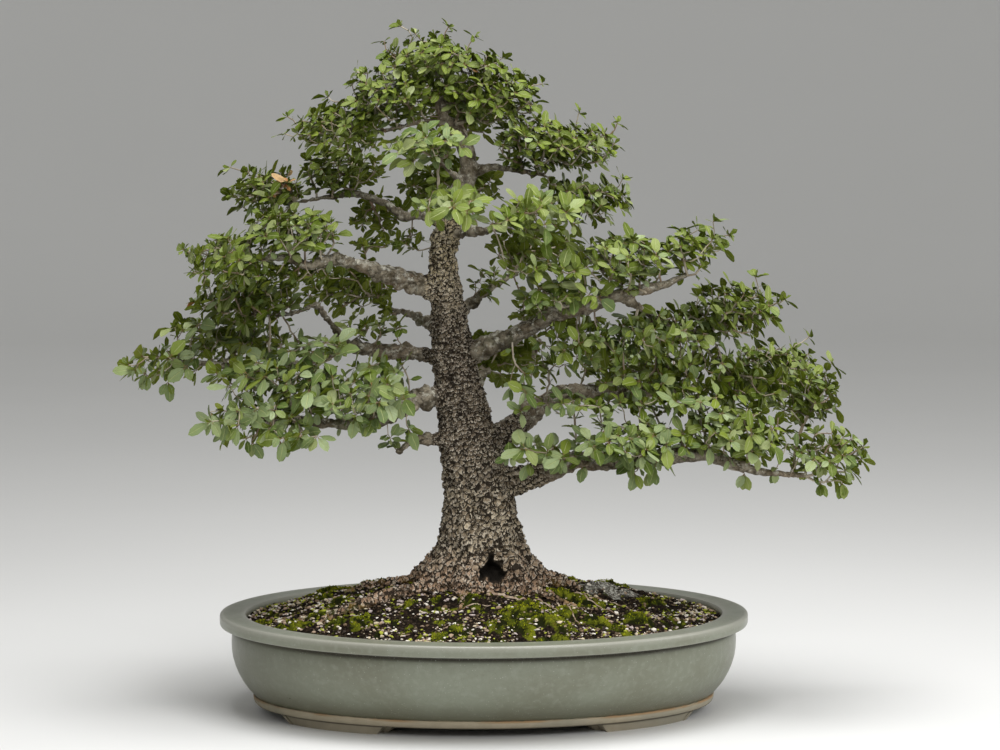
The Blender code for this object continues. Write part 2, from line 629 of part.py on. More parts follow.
def clump_mesh(draw, matrix, root):
    """A clump of arched leaves in one thin blade, placed by a matrix, with its twig to a root."""
    work = bmesh.new()
    corner = [2 * math.pi * k / LEAVES for k in range(LEAVES)]
    hub = [work.verts.new((HUB_RADIUS * math.cos(a), HUB_RADIUS * math.sin(a), 0))
           for a in corner]
    work.faces.new(hub)
    for k in range(LEAVES):
        angle = corner[k] + math.pi / LEAVES
        along = Vector((math.cos(angle), math.sin(angle), 0))
        across = Vector((-along.y, along.x, 0))
        length = LEAF_LENGTH * draw.uniform(*LEAF_VARY)
        slope = draw.uniform(*LEAF_SLOPE)
        right, left = hub[k], hub[(k + 1) % LEAVES]
        for place, width in (*LEAF_STATIONS, (1, 0)):
            drop = slope * place * length - LEAF_ARCH * place ** 2
            middle = along * (HUB_RADIUS + place * length) + Vector((0, 0, drop))
            side = across * width * MM
            if width:
                outer = work.verts.new(middle - side), work.verts.new(middle + side)
                work.faces.new((right, *outer, left))
                right, left = outer
            else:
                work.faces.new((right, work.verts.new(middle), left))
    bmesh.ops.triangulate(work, faces=work.faces)
    mesh = bpy.data.meshes.new("clump")
    work.to_mesh(mesh)
    work.free()
    flat = add_object("clump", mesh, bpy.context.scene.collection)
    shell = flat.modifiers.new("thickness", "SOLIDIFY")
    shell.thickness = LEAF_THICKNESS
    shell.offset = 0
    clump = solid("clump", flat, bpy.context.scene.collection)
    draw_twig(clump.data, matrix.inverted() @ root)
    clump.data.transform(matrix)
    return clump


def draw_twig(mesh, root):
    """Draw a twig out of the underside of a clump's hub, down to its root."""
    work = bmesh.new()
    work.from_mesh(mesh)
    under = [f for f in work.faces if f.normal.z < 0
             and all(Vector(v.co.xy).length < 1.3 * HUB_RADIUS for v in f.verts)]
    drawn = bmesh.ops.extrude_face_region(work, geom=under)["geom"]
    bmesh.ops.delete(work, geom=under, context="FACES_ONLY")
    bend = Vector((0, 0, -1)).rotation_difference(root)
    for vert in (item for item in drawn if isinstance(item, bmesh.types.BMVert)):
        vert.co = root + bend @ Vector((vert.co.x, vert.co.y, 0)) * TWIG_TAPER
    work.to_mesh(mesh)
    work.free()


def crosses(mesh, others, grow=GAP):
    """Whether a mesh, grown by the clearance, touches any of the other pieces."""
    middle = sum((v.co for v in mesh.vertices), Vector()) / len(mesh.vertices)
    points = [v.co + (v.co - middle).normalized() * grow for v in mesh.vertices]
    tree = BVHTree.FromPolygons(points, [p.vertices for p in mesh.polygons])
    return any(tree.overlap(other) for other in others)


def near_pieces(centre, reach, placed):
    """The search trees of the placed pieces that come near a point."""
    return [tree for tree in placed if tree.find_nearest(centre, reach)[0] is not None]


def seat_on_limb(limb, centre, wood, draw):
    """Where a spray leaves its limb: the wood's surface there, and the way out of it."""
    route = limb_route(limb)
    outer = route[len(route) // 3:]
    nearest = min(range(len(outer)), key=lambda k: (outer[k] - centre).length)
    axis = outer[max(0, min(len(outer) - 1, nearest + draw.choice((0, 0, -1, 1))))]
    out = (centre - axis).normalized()
    start = axis + out * min(STEM_SEARCH, (centre - axis).length)
    place, normal, _, _ = wood.ray_cast(start, -out)
    if place is None:
        place, normal, _, _ = wood.find_nearest(start)
    return place, normal


def grow_stem(limb, centre, wood, stems, draw, collection):
    """A spray's stem from its limb's surface to its middle, clear of the other stems."""
    for _ in range(TRIES):
        place, normal = seat_on_limb(limb, centre, wood, draw)
        base = place + normal * GAP
        knee = base + normal * STEM_RISE
        route = [base, knee, centre]
        radii = [STEM_RADIUS, STEM_RADIUS, STEM_RADIUS * TWIG_TAPER]
        stem = tube("stem", route, radii, 4, collection)
        if not crosses(stem.data, [wood], 0) and not crosses(stem.data, stems):
            return stem
        bpy.data.objects.remove(stem)
    raise ValueError("no clear way for the stem from " + limb)


def clump_place(centre, size, k, count, draw):
    """A place for a leaf clump in the outer part of a spray's space, the first one outermost."""
    outward = math.atan2(centre.y - TRUNK_ROUTE[0][1] * MM, centre.x - TRUNK_ROUTE[0][0] * MM)
    angle = outward + 2 * math.pi * k / count + draw.uniform(-0.35, 0.35)
    rise = draw.uniform(-0.3, 0.6)
    flat = math.sqrt(1 - rise * rise)
    return centre + Vector((flat * math.cos(angle) * size.x, flat * math.sin(angle) * size.y,
                            rise * size.z))


def grow_clumps(centre, size, stem, others, draw):
    """The leaf clumps of a spray, each on a twig from its stem's end."""
    inner = Vector([max(4 * MM, side - LEAF_REACH) for side in size])
    near = near_pieces(centre, size.length + LEAF_LENGTH, others)
    knee = sum((v.co for v in stem.data.vertices), Vector()) / len(stem.data.vertices)
    root = centre - (centre - knee).normalized() * TWIG_SINK
    count = 2 if size.x > CLUMP_SPACE * MM else 1
    clumps = []
    for k in range(count):
        for _ in range(TRIES):
            goal = clump_place(centre, inner, k, count, draw)
            outward = Vector((goal.x, goal.y, 0)).normalized()
            axis = outward * draw.uniform(*CLUMP_OUTWARD)
            axis.z += draw.uniform(*CLUMP_UPWARD)
            turn = axis.to_track_quat("Z", "Y").to_matrix().to_4x4()
            spin = Matrix.Rotation(draw.random() * 2 * math.pi, 4, "Z")
            clump = clump_mesh(draw, Matrix.Translation(goal) @ turn @ spin, root)
            if not crosses(clump.data, near):
                clumps.append(clump)
                break
            bpy.data.objects.remove(clump)
    return clumps


def build_foliage(collection, tree, pot, soil, material):
    """All sprays: first every stem, then their leaf clumps, each kept clear of what is there."""
    wood = surface_of(tree)
    stems, shapes, draws = {}, {}, {}
    for k, (name, (limb, centre, _)) in enumerate(SPRAYS.items()):
        draws[name] = random.Random(100 + k)
        stems[name] = grow_stem(limb, planted(*centre), wood, shapes.values(), draws[name],
                                collection)
        shapes[name] = surface_of(stems[name])
    fixed = [wood, surface_of(pot), surface_of(soil)]
    for name, (limb, centre, size) in SPRAYS.items():
        others = fixed + [shape for other, shape in shapes.items() if other != name]
        clumps = grow_clumps(planted(*centre), Vector(size) * MM, stems[name], others,
                             draws[name])
        spray = unite(stems[name], clumps, name, collection, material)
        shapes[name] = surface_of(spray)


def main():
    """Build the whole part."""
    for item in list(bpy.data.objects):
        bpy.data.objects.remove(item)
    scene = bpy.context.scene
    model = bpy.data.collections.new("live_oak_bonsai")
    cutters = bpy.data.collections.new("cutters")
    scene.collection.children.link(model)
    scene.collection.children.link(cutters)

    glaze = make_material("celadon_glaze", (0.27, 0.29, 0.22), 0.35)
    plastic = make_material("black_plastic", (0.02, 0.02, 0.02), 0.5)
    earth = make_material("earth_and_moss", (0.07, 0.06, 0.03), 0.95)
    bark = make_material("oak_bark", (0.16, 0.12, 0.09), 0.9)
    leaves = make_material("oak_leaf", (0.13, 0.19, 0.09), 0.45)

    pot = build_pot(model, cutters, glaze)
    build_screens(model, plastic)
    tree = build_tree(model, bark)
    soil = build_soil(model, cutters, build_root_cutter(cutters), earth)
    build_foliage(model, tree, pot, soil, leaves)

    stand = bpy.data.objects.new("pot_centre", None)
    scene.collection.objects.link(stand)
    stand.location = (POT_X, POT_Y, 0)
    for item in (*model.objects, *cutters.objects):
        item.parent = stand


main()
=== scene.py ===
"""Looks of a live oak bonsai in its oval celadon pot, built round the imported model.

Everything is in metres in the model's own frame: +Z up, +X along the pot, -Y towards the front.
The sections follow the order in which such a tree is potted and grown.
"""
import math
import random

import bmesh
import bpy
import numpy as np
from mathutils import Matrix, Vector, noise
from mathutils.bvhtree import BVHTree


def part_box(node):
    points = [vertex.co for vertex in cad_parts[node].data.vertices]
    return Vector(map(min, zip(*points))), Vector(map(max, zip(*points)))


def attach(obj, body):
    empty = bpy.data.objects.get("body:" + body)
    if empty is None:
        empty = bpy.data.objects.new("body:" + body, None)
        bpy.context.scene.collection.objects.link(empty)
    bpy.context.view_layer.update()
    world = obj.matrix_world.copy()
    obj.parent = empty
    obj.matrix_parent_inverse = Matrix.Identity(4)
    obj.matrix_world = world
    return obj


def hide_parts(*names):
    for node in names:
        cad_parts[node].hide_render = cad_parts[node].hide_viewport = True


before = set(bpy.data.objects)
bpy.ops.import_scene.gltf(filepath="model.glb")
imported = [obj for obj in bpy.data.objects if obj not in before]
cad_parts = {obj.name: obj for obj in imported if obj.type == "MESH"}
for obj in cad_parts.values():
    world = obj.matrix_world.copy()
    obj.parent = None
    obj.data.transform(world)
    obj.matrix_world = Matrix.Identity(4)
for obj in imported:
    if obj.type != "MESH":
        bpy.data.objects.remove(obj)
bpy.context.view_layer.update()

noise.seed_set(3)                # or noise vectors would differ from run to run


# Pot. One piece of stoneware, pressed in a mould: a flat rim with a lip, a bowed wall, a bare
# clay band round its base and four low feet. The glaze is a grey-green celadon, thin and pale
# on the edges, pooled darker over the band, with a fine crackle. Painted shade darkens the wall
# just under the lip, a line where the band meets the feet, and the pot's left end.

MM = 0.001
pot_low, pot_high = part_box("pot")
POT_X = (pot_low.x + pot_high.x) / 2
POT_Y = (pot_low.y + pot_high.y) / 2
HALF_LONG = (pot_high.x - pot_low.x) / 2
HALF_WIDE = (pot_high.y - pot_low.y) / 2
POT_ROUND = 192
FRONT_LEAN = 21 * MM             # how much further front and back draw in, at the table
LEAN_BELOW = 75 * MM
FOOT_HEIGHT = 8 * MM
FOOT_INSET = 47 * MM             # the feet are drawn out of this ring of the base
FOOT_INSET_DEEP = 65 * MM        # the same for the depth, with the lean taken in
FOOT_ANGLES = (27, 63)           # degrees of each quarter that a foot takes up
FOOT_REACH = (0.9, 1.08)         # how far out its faces lie, by that ring
FOOT_TAPER = 0.86
DRAIN_X = 95 * MM
DRAIN_RADIUS = 11 * MM
DRILL = (60 * MM, 13 * MM)       # length of the drill and height of its middle

# Inset from the rim's edge, height in millimetres, and how thin the glaze lies there
POT_PROFILE = (
    (42, 18, 0), (36, 20.5, 0), (30, 27, 0), (27, 34, 0), (25.3, 50, 0), (24.6, 70, 0),
    (24.4, 85.5, 0.2), (24, 87.8, 0.7), (23, 89.4, 1), (21.2, 90, 0.6), (18, 89.9, 0.1),
    (10, 89.5, 0), (4.2, 89.8, 0.2), (2.2, 90, 0.8), (1, 89.6, 1), (0.25, 88.7, 1),
    (0, 87.2, 0.6), (0, 84, 0.1), (0.1, 81.5, 0.1), (0.6, 80.2, 0.5), (1.8, 79.5, 0.3),
    (8, 79.2, 0), (11, 79, 0), (12.1, 78, 0), (12.2, 76.6, 0), (11.5, 74.6, 0),
    (10.9, 71, 0), (10.6, 65, 0), (10.8, 58, 0), (11.8, 50.8, 0), (13.8, 43.8, 0),
    (16.8, 36.5, 0), (20.4, 29.8, 0), (24.6, 23.8, 0), (28.2, 19.6, 0), (31.2, 16.8, 0),
    (31.6, 16.2, 0), (30.3, 15.7, 0), (30, 14.8, 0), (30.3, 12, 0), (31.2, 9.8, 0),
    (32.6, 8.3, 0), (34, 8, 0), (35, 8, 0), (47, 8, 0), (60, 8, 0),
)


def half_axes(inset, z):
    """Half length and half depth of the pot's oval at an inset from the rim's edge."""
    lean = FRONT_LEAN * max(0, 1 - z / LEAN_BELOW) ** 1.5
    return HALF_LONG - inset, HALF_WIDE - inset - lean


def deselect():
    """Nothing selected, as before each new piece."""
    bpy.ops.object.select_all(action="DESELECT")


def select_only(piece):
    """One piece selected and active."""
    deselect()
    piece.select_set(True)
    bpy.context.view_layer.objects.active = piece


def finish_mesh(piece, angle=35):
    """Bring a piece's place into its mesh and shade it smooth between sharp edges."""
    select_only(piece)
    bpy.ops.object.transform_apply(location=True, rotation=True, scale=True)
    bpy.ops.object.shade_smooth_by_angle(angle=math.radians(angle))


def modify(piece, kind, **settings):
    """Put a modifier on a piece and apply it."""
    bpy.context.view_layer.objects.active = piece
    step = piece.modifiers.new(kind.lower(), kind)
    for name, value in settings.items():
        setattr(step, name, value)
    bpy.ops.object.modifier_apply(modifier=step.name)


def paint(mesh, name, values, domain="POINT"):
    """Lay a value on a mesh for its material to read."""
    layer = mesh.attributes.new(name, "FLOAT", domain)
    layer.data.foreach_set("value", values)


def give(piece, name, material, slot, *nodes):
    """Name a piece, put its material on, hang it on the root body and hide the model's parts that it
    stands for.
    """
    piece.name = name
    piece.data.name = name
    piece.data.materials.clear()
    piece.data.materials.append(material)
    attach(piece, "root")
    if nodes:
        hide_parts(*nodes)


deselect()
inset, level, _ = POT_PROFILE[0]
bpy.ops.mesh.primitive_circle_add(vertices=POT_ROUND, radius=1, fill_type="NGON",
                                  location=(POT_X, POT_Y, level * MM))
pot = bpy.context.object
bpy.ops.object.mode_set(mode="EDIT")
bpy.ops.mesh.select_mode(type="EDGE")
bpy.ops.mesh.select_all(action="SELECT")
wide, deep = half_axes(inset * MM, level * MM)
bpy.ops.transform.resize(value=(wide, deep, 1))
bpy.ops.mesh.region_to_loop()
for inset, z, _ in POT_PROFILE[1:]:
    new_wide, new_deep = half_axes(inset * MM, z * MM)
    bpy.ops.mesh.extrude_edges_move(TRANSFORM_OT_translate={"value": (0, 0, (z - level) * MM)})
    bpy.ops.transform.resize(value=(new_wide / wide, new_deep / deep, 1),
                             center_override=(POT_X, POT_Y, z * MM))
    wide, deep, level = new_wide, new_deep, z
bpy.ops.mesh.edge_face_add()
bpy.ops.mesh.select_all(action="SELECT")
bpy.ops.mesh.normals_make_consistent(inside=False)


def in_foot(face, side_x, side_y):
    """Whether a face of the base is one that the foot of a corner is drawn out of."""
    middle = face.calc_center_median()
    ring_x, ring_y = half_axes(FOOT_INSET, 0)
    out = math.hypot(middle.x / ring_x, middle.y / ring_y)
    turn = math.degrees(math.atan2(side_y * middle.y / (HALF_WIDE - FOOT_INSET_DEEP),
                                   side_x * middle.x / (HALF_LONG - FOOT_INSET)))
    on_base = all(abs(v.co.z + pot.location.z - FOOT_HEIGHT) < 0.1 * MM for v in face.verts)
    return face.normal.z < -0.9 and on_base and len(face.verts) == 4 \
        and FOOT_REACH[0] < out < FOOT_REACH[1] and FOOT_ANGLES[0] < turn < FOOT_ANGLES[1]


bpy.ops.mesh.select_mode(type="FACE")
for side_x in (-1, 1):
    for side_y in (-1, 1):
        shape = bmesh.from_edit_mesh(pot.data)
        for face in shape.faces:
            face.select = in_foot(face, side_x, side_y)
        bmesh.update_edit_mesh(pot.data)
        bpy.ops.mesh.extrude_region_move(
            TRANSFORM_OT_translate={"value": (0, 0, -FOOT_HEIGHT)})
        bpy.ops.transform.resize(value=(FOOT_TAPER, FOOT_TAPER, 1))
bpy.ops.object.mode_set(mode="OBJECT")

thin = [amount for _, _, amount in POT_PROFILE for _ in range(POT_ROUND)]
paint(pot.data, "thin", thin + [0.0] * (len(pot.data.vertices) - len(thin)))

for side in (-1, 1):
    deselect()
    bpy.ops.mesh.primitive_cylinder_add(vertices=48, radius=DRAIN_RADIUS, depth=DRILL[0],
                                        location=(POT_X + side * DRAIN_X, POT_Y, DRILL[1]))
    drill = bpy.context.object
    modify(pot, "BOOLEAN", operation="DIFFERENCE", object=drill)
    bpy.data.objects.remove(drill)
finish_mesh(pot)


def add_node(material, kind, inputs=None, **settings):
    """A shader node with its settings, and with values or other nodes' outputs on its inputs."""
    made = material.node_tree.nodes.new("ShaderNode" + kind)
    for name, value in settings.items():
        setattr(made, name, value)
    for name, value in (inputs or {}).items():
        if isinstance(value, bpy.types.NodeSocket):
            material.node_tree.links.new(value, made.inputs[name])
        else:
            made.inputs[name].default_value = value
    return made


def new_material(name, roughness, specular=0.5):
    """A material, its shader and its Object coordinates."""
    material = bpy.data.materials.new(name)
    material.use_nodes = True
    shader = material.node_tree.nodes["Principled BSDF"]
    shader.inputs["Roughness"].default_value = roughness
    shader.inputs["Specular IOR Level"].default_value = specular
    return material, shader, add_node(material, "TexCoord").outputs["Object"]


def clouds(material, place, scale, detail=3, roughness=0.55):
    """Soft irregular variation, 0 to 1."""
    return add_node(material, "TexNoise", {"Vector": place, "Scale": scale, "Detail": detail,
                                           "Roughness": roughness}).outputs["Fac"]


def cells(material, place, scale, feature="F1"):
    """Distance to the nearest point, or to the nearest edge, of a field of cells."""
    return add_node(material, "TexVoronoi", {"Vector": place, "Scale": scale},
                    feature=feature).outputs["Distance"]


def between(material, value, low, high, start=0.0, end=1.0):
    """A value drawn out smoothly between two limits."""
    return add_node(material, "MapRange", {"Value": value, "From Min": low, "From Max": high,
                                           "To Min": start, "To Max": end},
                    interpolation_type="SMOOTHSTEP").outputs["Result"]


def blend_colour(material, amount, first, second):
    """One colour or the other, by an amount."""
    first = (*first, 1) if isinstance(first, tuple) else first
    second = (*second, 1) if isinstance(second, tuple) else second
    return add_node(material, "Mix", {0: amount, 6: first, 7: second},
                    data_type="RGBA").outputs[2]


def patchy(material, place, scale, low, high, start=0, end=1, detail=3, roughness=0.55):
    """Soft patches: clouds drawn out between two limits."""
    return between(material, clouds(material, place, scale, detail, roughness), low, high,
                   start, end)


def coats(material, colour, *layers):
    """A colour with others laid over it in turn, each by its own amount."""
    for amount, other in layers:
        colour = blend_colour(material, amount, colour, other)
    return colour


def sums(material, first, second, operation="MULTIPLY"):
    """Two values put together, by default multiplied."""
    return add_node(material, "Math", {0: first, 1: second}, operation=operation).outputs[0]


def axis_of(material, vector, axis="Z"):
    """One of the three parts of a place or direction."""
    return add_node(material, "SeparateXYZ", {"Vector": vector}).outputs[axis]


def attribute(material, name):
    """A value painted on the mesh."""
    return add_node(material, "Attribute", attribute_name=name).outputs["Fac"]


def connect(material, shader, colour, roughness=None, relief=None, distance=0.0005):
    """Colour, roughness and fine relief on the shader."""
    links = material.node_tree.links
    links.new(colour, shader.inputs["Base Color"])
    if roughness is not None:
        links.new(roughness, shader.inputs["Roughness"])
    if relief is not None:
        raised = add_node(material, "Bump", {"Height": relief, "Distance": distance,
                                             "Strength": 1.0})
        links.new(raised.outputs["Normal"], shader.inputs["Normal"])


glaze, shader, place = new_material("celadon_glaze", 0.3)
x = axis_of(glaze, place, "X")
z = axis_of(glaze, place)
burnt = sums(glaze, between(glaze, z, 0.0132, 0.0152),
             patchy(glaze, place, 13, 0.42, 0.56, 0.1, 0.85))
# painted shadow: a dark line where the clay band meets the feet
painted_groove_shadow = sums(glaze, between(glaze, z, 0.0098, 0.0085), between(glaze, z, 0.0066, 0.0076, 0, 0.8))
clay = coats(glaze, (0.52, 0.45, 0.33),
             (clouds(glaze, place, 90, 5), (0.32, 0.275, 0.19)),
             (patchy(glaze, place, 9, 0.45, 0.6, 0, 0.6), (0.29, 0.28, 0.22)),
             (burnt, (0.34, 0.2, 0.09)),
             (between(glaze, z, 0.009, 0.0075, 0, 0.3), (0.16, 0.15, 0.12)),
             (painted_groove_shadow, (0.05, 0.042, 0.027)))
pooled = between(glaze, sums(glaze, z, sums(glaze, clouds(glaze, place, 30), 0.012), "ADD"),
                 0.046, 0.022, 0, 0.8)
# painted shadow: a dark band on the wall just under the rim's lip
painted_lip_shadow = sums(glaze, between(glaze, z, 0.0726, 0.0762), between(glaze, z, 0.0799, 0.0793, 0, 0.97))
crackle = between(glaze, cells(glaze, place, 190, "DISTANCE_TO_EDGE"), 0.035, 0.0, 0, 0.38)
specks = between(glaze, cells(glaze, place, 260), 0.11, 0.07, 0, 0.6)
bare = between(glaze, sums(glaze, z, sums(glaze, clouds(glaze, place, 120), 0.0016), "ADD"),
               0.0172, 0.0166)
# painted shade: the pot's left end darker, below the rim
painted_left_end_shade = sums(glaze, between(glaze, x, -0.13, -0.24), between(glaze, z, 0.0795, 0.0775, 0, 0.5))
tone = coats(glaze, (0.222, 0.24, 0.18),
             (patchy(glaze, place, 11, 0.35, 0.68, detail=4), (0.176, 0.182, 0.128)),
             (patchy(glaze, place, 170, 0.45, 0.75, 0, 0.45, 5), (0.28, 0.3, 0.24)),
             (pooled, (0.11, 0.106, 0.064)),
             (painted_lip_shadow, (0.03, 0.026, 0.014)),
             (crackle, (0.16, 0.155, 0.11)),
             (specks, (0.48, 0.5, 0.44)),
             (sums(glaze, attribute(glaze, "thin"), 0.75), (0.37, 0.365, 0.315)),
             (bare, clay),
             (painted_left_end_shade, (0.075, 0.074, 0.042)))
gloss = coats(glaze, (0.24,) * 3, (clouds(glaze, place, 60), (0.4,) * 3), (bare, (0.85,) * 3))
pitted = sums(glaze, clouds(glaze, place, 420, 2), sums(glaze, crackle, -0.6), "ADD")
connect(glaze, shader, tone, gloss, pitted, 0.00012)
give(pot, "pot_body", glaze, "glaze", "pot")


# Drainage screens. Two squares of stiff black plastic net, cut from a sheet and laid over the
# holes before the soil goes in, so that water runs out and soil stays.

SCREEN_MESH = 9
black, shader, place = new_material("black_net", 0.5)
connect(black, shader, blend_colour(black, clouds(black, place, 300), (0.012,) * 3, (0.03,) * 3),
        relief=clouds(black, place, 900, 2), distance=0.0001)
for side, node_name in ((-1, "drain_screen_left"), (1, "drain_screen_right")):
    low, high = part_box(node_name)
    deselect()
    bpy.ops.mesh.primitive_grid_add(x_subdivisions=SCREEN_MESH, y_subdivisions=SCREEN_MESH,
                                    size=high.x - low.x, location=(low + high) / 2)
    screen = bpy.context.object
    modify(screen, "WIREFRAME", thickness=high.z - low.z, use_even_offset=False)
    finish_mesh(screen)
    give(screen, "net_left" if side < 0 else "net_right", black, "screen", node_name)


# Soil. A gritty mix of bark, clay granules and dark humus, heaped towards the trunk. Moss has
# grown on it in cushions and thin sheets, which are part of its surface here.

SOIL_EDGE_Z = 83 * MM
SOIL_RISE = 34 * MM
SOIL_INSET = 24.6 * MM
SOIL_SQUARES = (204, 156)
SOIL_BASE_Z = 40 * MM
MOSS_CUSHIONS = (                # x, y from the pot's middle, radius and height in millimetres
    (26, -124, 27, 9), (54, -130, 20, 8), (36, -95, 22, 6), (3, -131, 13, 5), (-31, -135, 15, 6),
    (-51, -139, 9, 3), (68, -97, 14, 5), (91, -104, 13, 4), (63, -50, 18, 6), (88, -60, 16, 5),
    (133, -87, 14, 6), (112, -118, 12, 5), (166, -71, 10, 3), (-181, -70, 17, 4),
    (-203, -37, 12, 3), (-136, -89, 12, 4), (-154, -58, 11, 3), (-115, -95, 15, 6),
    (-93, -40, 13, 5), (-132, -31, 14, 4), (-69, -70, 8, 3), (150, -30, 14, 4),
    (128, 20, 14, 4), (-17, -71, 13, 6),
    (118, 60, 16, 4), (60, 95, 26, 6), (20, 108, 18, 5), (-50, 105, 24, 6), (-96, 72, 18, 5),
    (-140, 45, 20, 5), (-150, 6, 13, 3), (84, 96, 14, 4), (-12, 70, 16, 4),
)
DRY_PATCH = (112, -12, 27, 8)    # the same for the grey crust of lichen and dead roots


def smooth(value, low, high):
    """0 under low, 1 over high, and smooth between."""
    t = min(1, max(0, (value - low) / (high - low)))
    return t * t * (3 - 2 * t)


def mound(x, y):
    """Level of the bare soil at a place."""
    wide, deep = half_axes(SOIL_INSET, SOIL_EDGE_Z)
    reach = min(1, math.hypot((x - POT_X) / wide, (y - POT_Y) / deep))
    return SOIL_EDGE_Z + SOIL_RISE * (1 - reach ** 2)


def moss_at(x, y):
    """How mossy a place is, 0 to 1 on a cushion, and how high the cushions stand there."""
    near = 0
    rise = 0
    for moss_x, moss_y, radius, height in MOSS_CUSHIONS:
        away = math.hypot(x - POT_X - moss_x * MM, y - POT_Y - moss_y * MM) / (radius * MM)
        near = max(near, 1.25 - away)
        rise += height * MM * math.exp(-away ** 2 * 1.5)
    ragged = noise.fractal(Vector((x, y, 0)) * 75, 1, 2, 3)
    thin = noise.noise(Vector((x, y, 0.3)) * 60) + 0.5 * noise.noise(Vector((x, y, 0.7)) * 150)
    return min(1, max(0, 2.2 * (near - 0.1 + 0.8 * ragged), 3 * (thin - 0.36))), rise


def soil_surface(x, y):
    """Height of the soil with its moss and crumbs, how mossy and how dry it is, and its lumps."""
    moss, rise = moss_at(x, y)
    flat = Vector((x, y, 0))
    dry_x, dry_y, radius, height = DRY_PATCH
    away = math.hypot(x - POT_X - dry_x * MM, y - POT_Y - dry_y * MM) / (radius * MM)
    dry = smooth(1.35 - away + 0.6 * noise.fractal(flat * 70, 1, 2, 3), 0.35, 0.6)
    moss *= 1 - dry
    rise += height * MM * math.exp(-away ** 2 * 1.5)
    lumps = 2.2 * noise.noise(flat * 42) + 2.0 * noise.noise(flat * 120)
    crumbs = 2.2 * noise.noise(flat * 230) + 1.2 * noise.noise(flat * 480)
    lump = 0.8 - noise.voronoi(flat * 165 + noise.noise_vector(flat * 80))[0][0]
    tufts = 3.4 * lump + 1.1 * noise.noise(flat * 330)
    height = mound(x, y) + rise + MM * (lumps + crumbs * (1 - moss) + moss * (tufts - 0.6))
    return height, moss, dry, lump


deselect()
bpy.ops.mesh.primitive_grid_add(x_subdivisions=SOIL_SQUARES[0], y_subdivisions=SOIL_SQUARES[1],
                                size=2, location=(0, 0, 0))
soil = bpy.context.object
wide, deep = half_axes(SOIL_INSET, SOIL_EDGE_Z)
painted = {"moss": [], "dry": [], "lump": []}
for vert in soil.data.vertices:
    u, v = vert.co.x, vert.co.y
    x = POT_X + wide * u * math.sqrt(1 - v * v / 2)
    y = POT_Y + deep * v * math.sqrt(1 - u * u / 2)
    height, *found = soil_surface(x, y)
    vert.co = (x, y, height)
    for values, value in zip(painted.values(), found):
        values.append(value)
for name, values in painted.items():
    paint(soil.data, name, values)
bpy.ops.object.mode_set(mode="EDIT")
bpy.ops.mesh.select_mode(type="EDGE")
bpy.ops.mesh.select_all(action="SELECT")
bpy.ops.mesh.region_to_loop()
bpy.ops.mesh.extrude_edges_move(TRANSFORM_OT_translate={"value": (0, 0, 0)})
bpy.ops.transform.resize(value=(0.97, 0.965, 0), center_override=(POT_X, POT_Y, SOIL_BASE_Z))
bpy.ops.mesh.edge_face_add()
bpy.ops.mesh.select_all(action="SELECT")
bpy.ops.mesh.normals_make_consistent(inside=False)
bpy.ops.object.mode_set(mode="OBJECT")
finish_mesh(soil, 60)

earth, shader, place = new_material("earth_and_moss", 0.95, 0.1)
bits = sums(earth, between(earth, cells(earth, place, 340), 0.36, 0.2, 0, 0.9),
            patchy(earth, place, 60, 0.45, 0.6))
dark = coats(earth, (0.006, 0.004, 0.0025),
             (patchy(earth, place, 330, 0.4, 0.75, 0, 1, 4, 0.75), (0.048, 0.031, 0.019)),
             (bits, (0.25, 0.19, 0.125)))
green = coats(earth, (0.04, 0.055, 0.004),
              (patchy(earth, place, 75, 0.35, 0.65), (0.15, 0.165, 0.012)),
              # painted shade: the moss darker in the hollows between its lumps
              (between(earth, attribute(earth, "lump"), 0.42, 0.1), (0.012, 0.014, 0.002)))
crust = blend_colour(earth, patchy(earth, place, 420, 0.45, 0.6, 0, 1, 5, 0.8),
                     (0.1, 0.088, 0.07), (0.66, 0.65, 0.58))
skin = coats(earth, dark,
             (between(earth, attribute(earth, "moss"), 0.3, 0.6), green),
             (sums(earth, attribute(earth, "dry"), 0.9), crust))
connect(earth, shader, skin, relief=clouds(earth, place, 500, 4, 0.7), distance=0.0014)
give(soil, "soil_bed", earth, "soil", "soil")


# Trunk, roots and limbs. One piece of living wood. Old bark covers the trunk and roots in small
# flaking plates with dark cracks between them, the limbs are smoother and knuckly, and two of
# the front roots leave a hollow between them. The cracks are dark partly in their own colour and
# partly with painted shade; painted shade also fills the hollow and the limbs' undersides, and
# painted highlights lighten the flakes' lower edges and the limbs' tops.

TREE_TURN = math.radians(-3.8)
TREE_LEAN = math.radians(-0.66)
LEAN_PIVOT = Vector((0, 0, 100 * MM))
TRUNK_GRAIN = 1.3 * MM           # size of the faces that the trunk's bark is shaped in
LIMB_GRAIN = 1.8 * MM
TRUNK_LINE = (                   # x, y, z and radius in millimetres, in the tree's own frame
    (-3, 4, 84, 48), (-3, 3, 120, 46), (-3, 2, 150, 37), (-3, 2, 178, 33.5), (-4, 1, 208, 31.5),
    (-11, 0, 237, 28), (-17, -1, 272, 23.5), (-26, -2, 331, 19), (-33, -3, 388, 15),
    (-30, -6, 442, 12), (-20, -9, 464, 10), (-10, -12, 491, 7.5), (-22, -16, 527, 5),
    (-36, -22, 590, 2.2),
)
TRUNK_TOP = 470 * MM             # above this the trunk is counted to the limbs
FLARE_TOP = 160 * MM             # below this all wood is counted to the trunk
PLATE = (4.4 * MM, 4.4 * MM, 7 * MM)         # size of a bark plate
FURROW = (13 * MM, 13 * MM, 46 * MM)         # spacing of the long cracks
UNDERGROUND = 94 * MM                        # the trunk is cut off flat here, inside the soil
KNOT = 10.5 * MM                 # size of the limbs' knuckles
FLAKES = 225                     # flakes to a metre in the bark's colour, at the foot
FLAKE_LEAN = (75, 45, -225)      # the way in which each flake stands out further
HOLLOW = (8, -46, 134)           # middle and half size of the hollow between the front roots
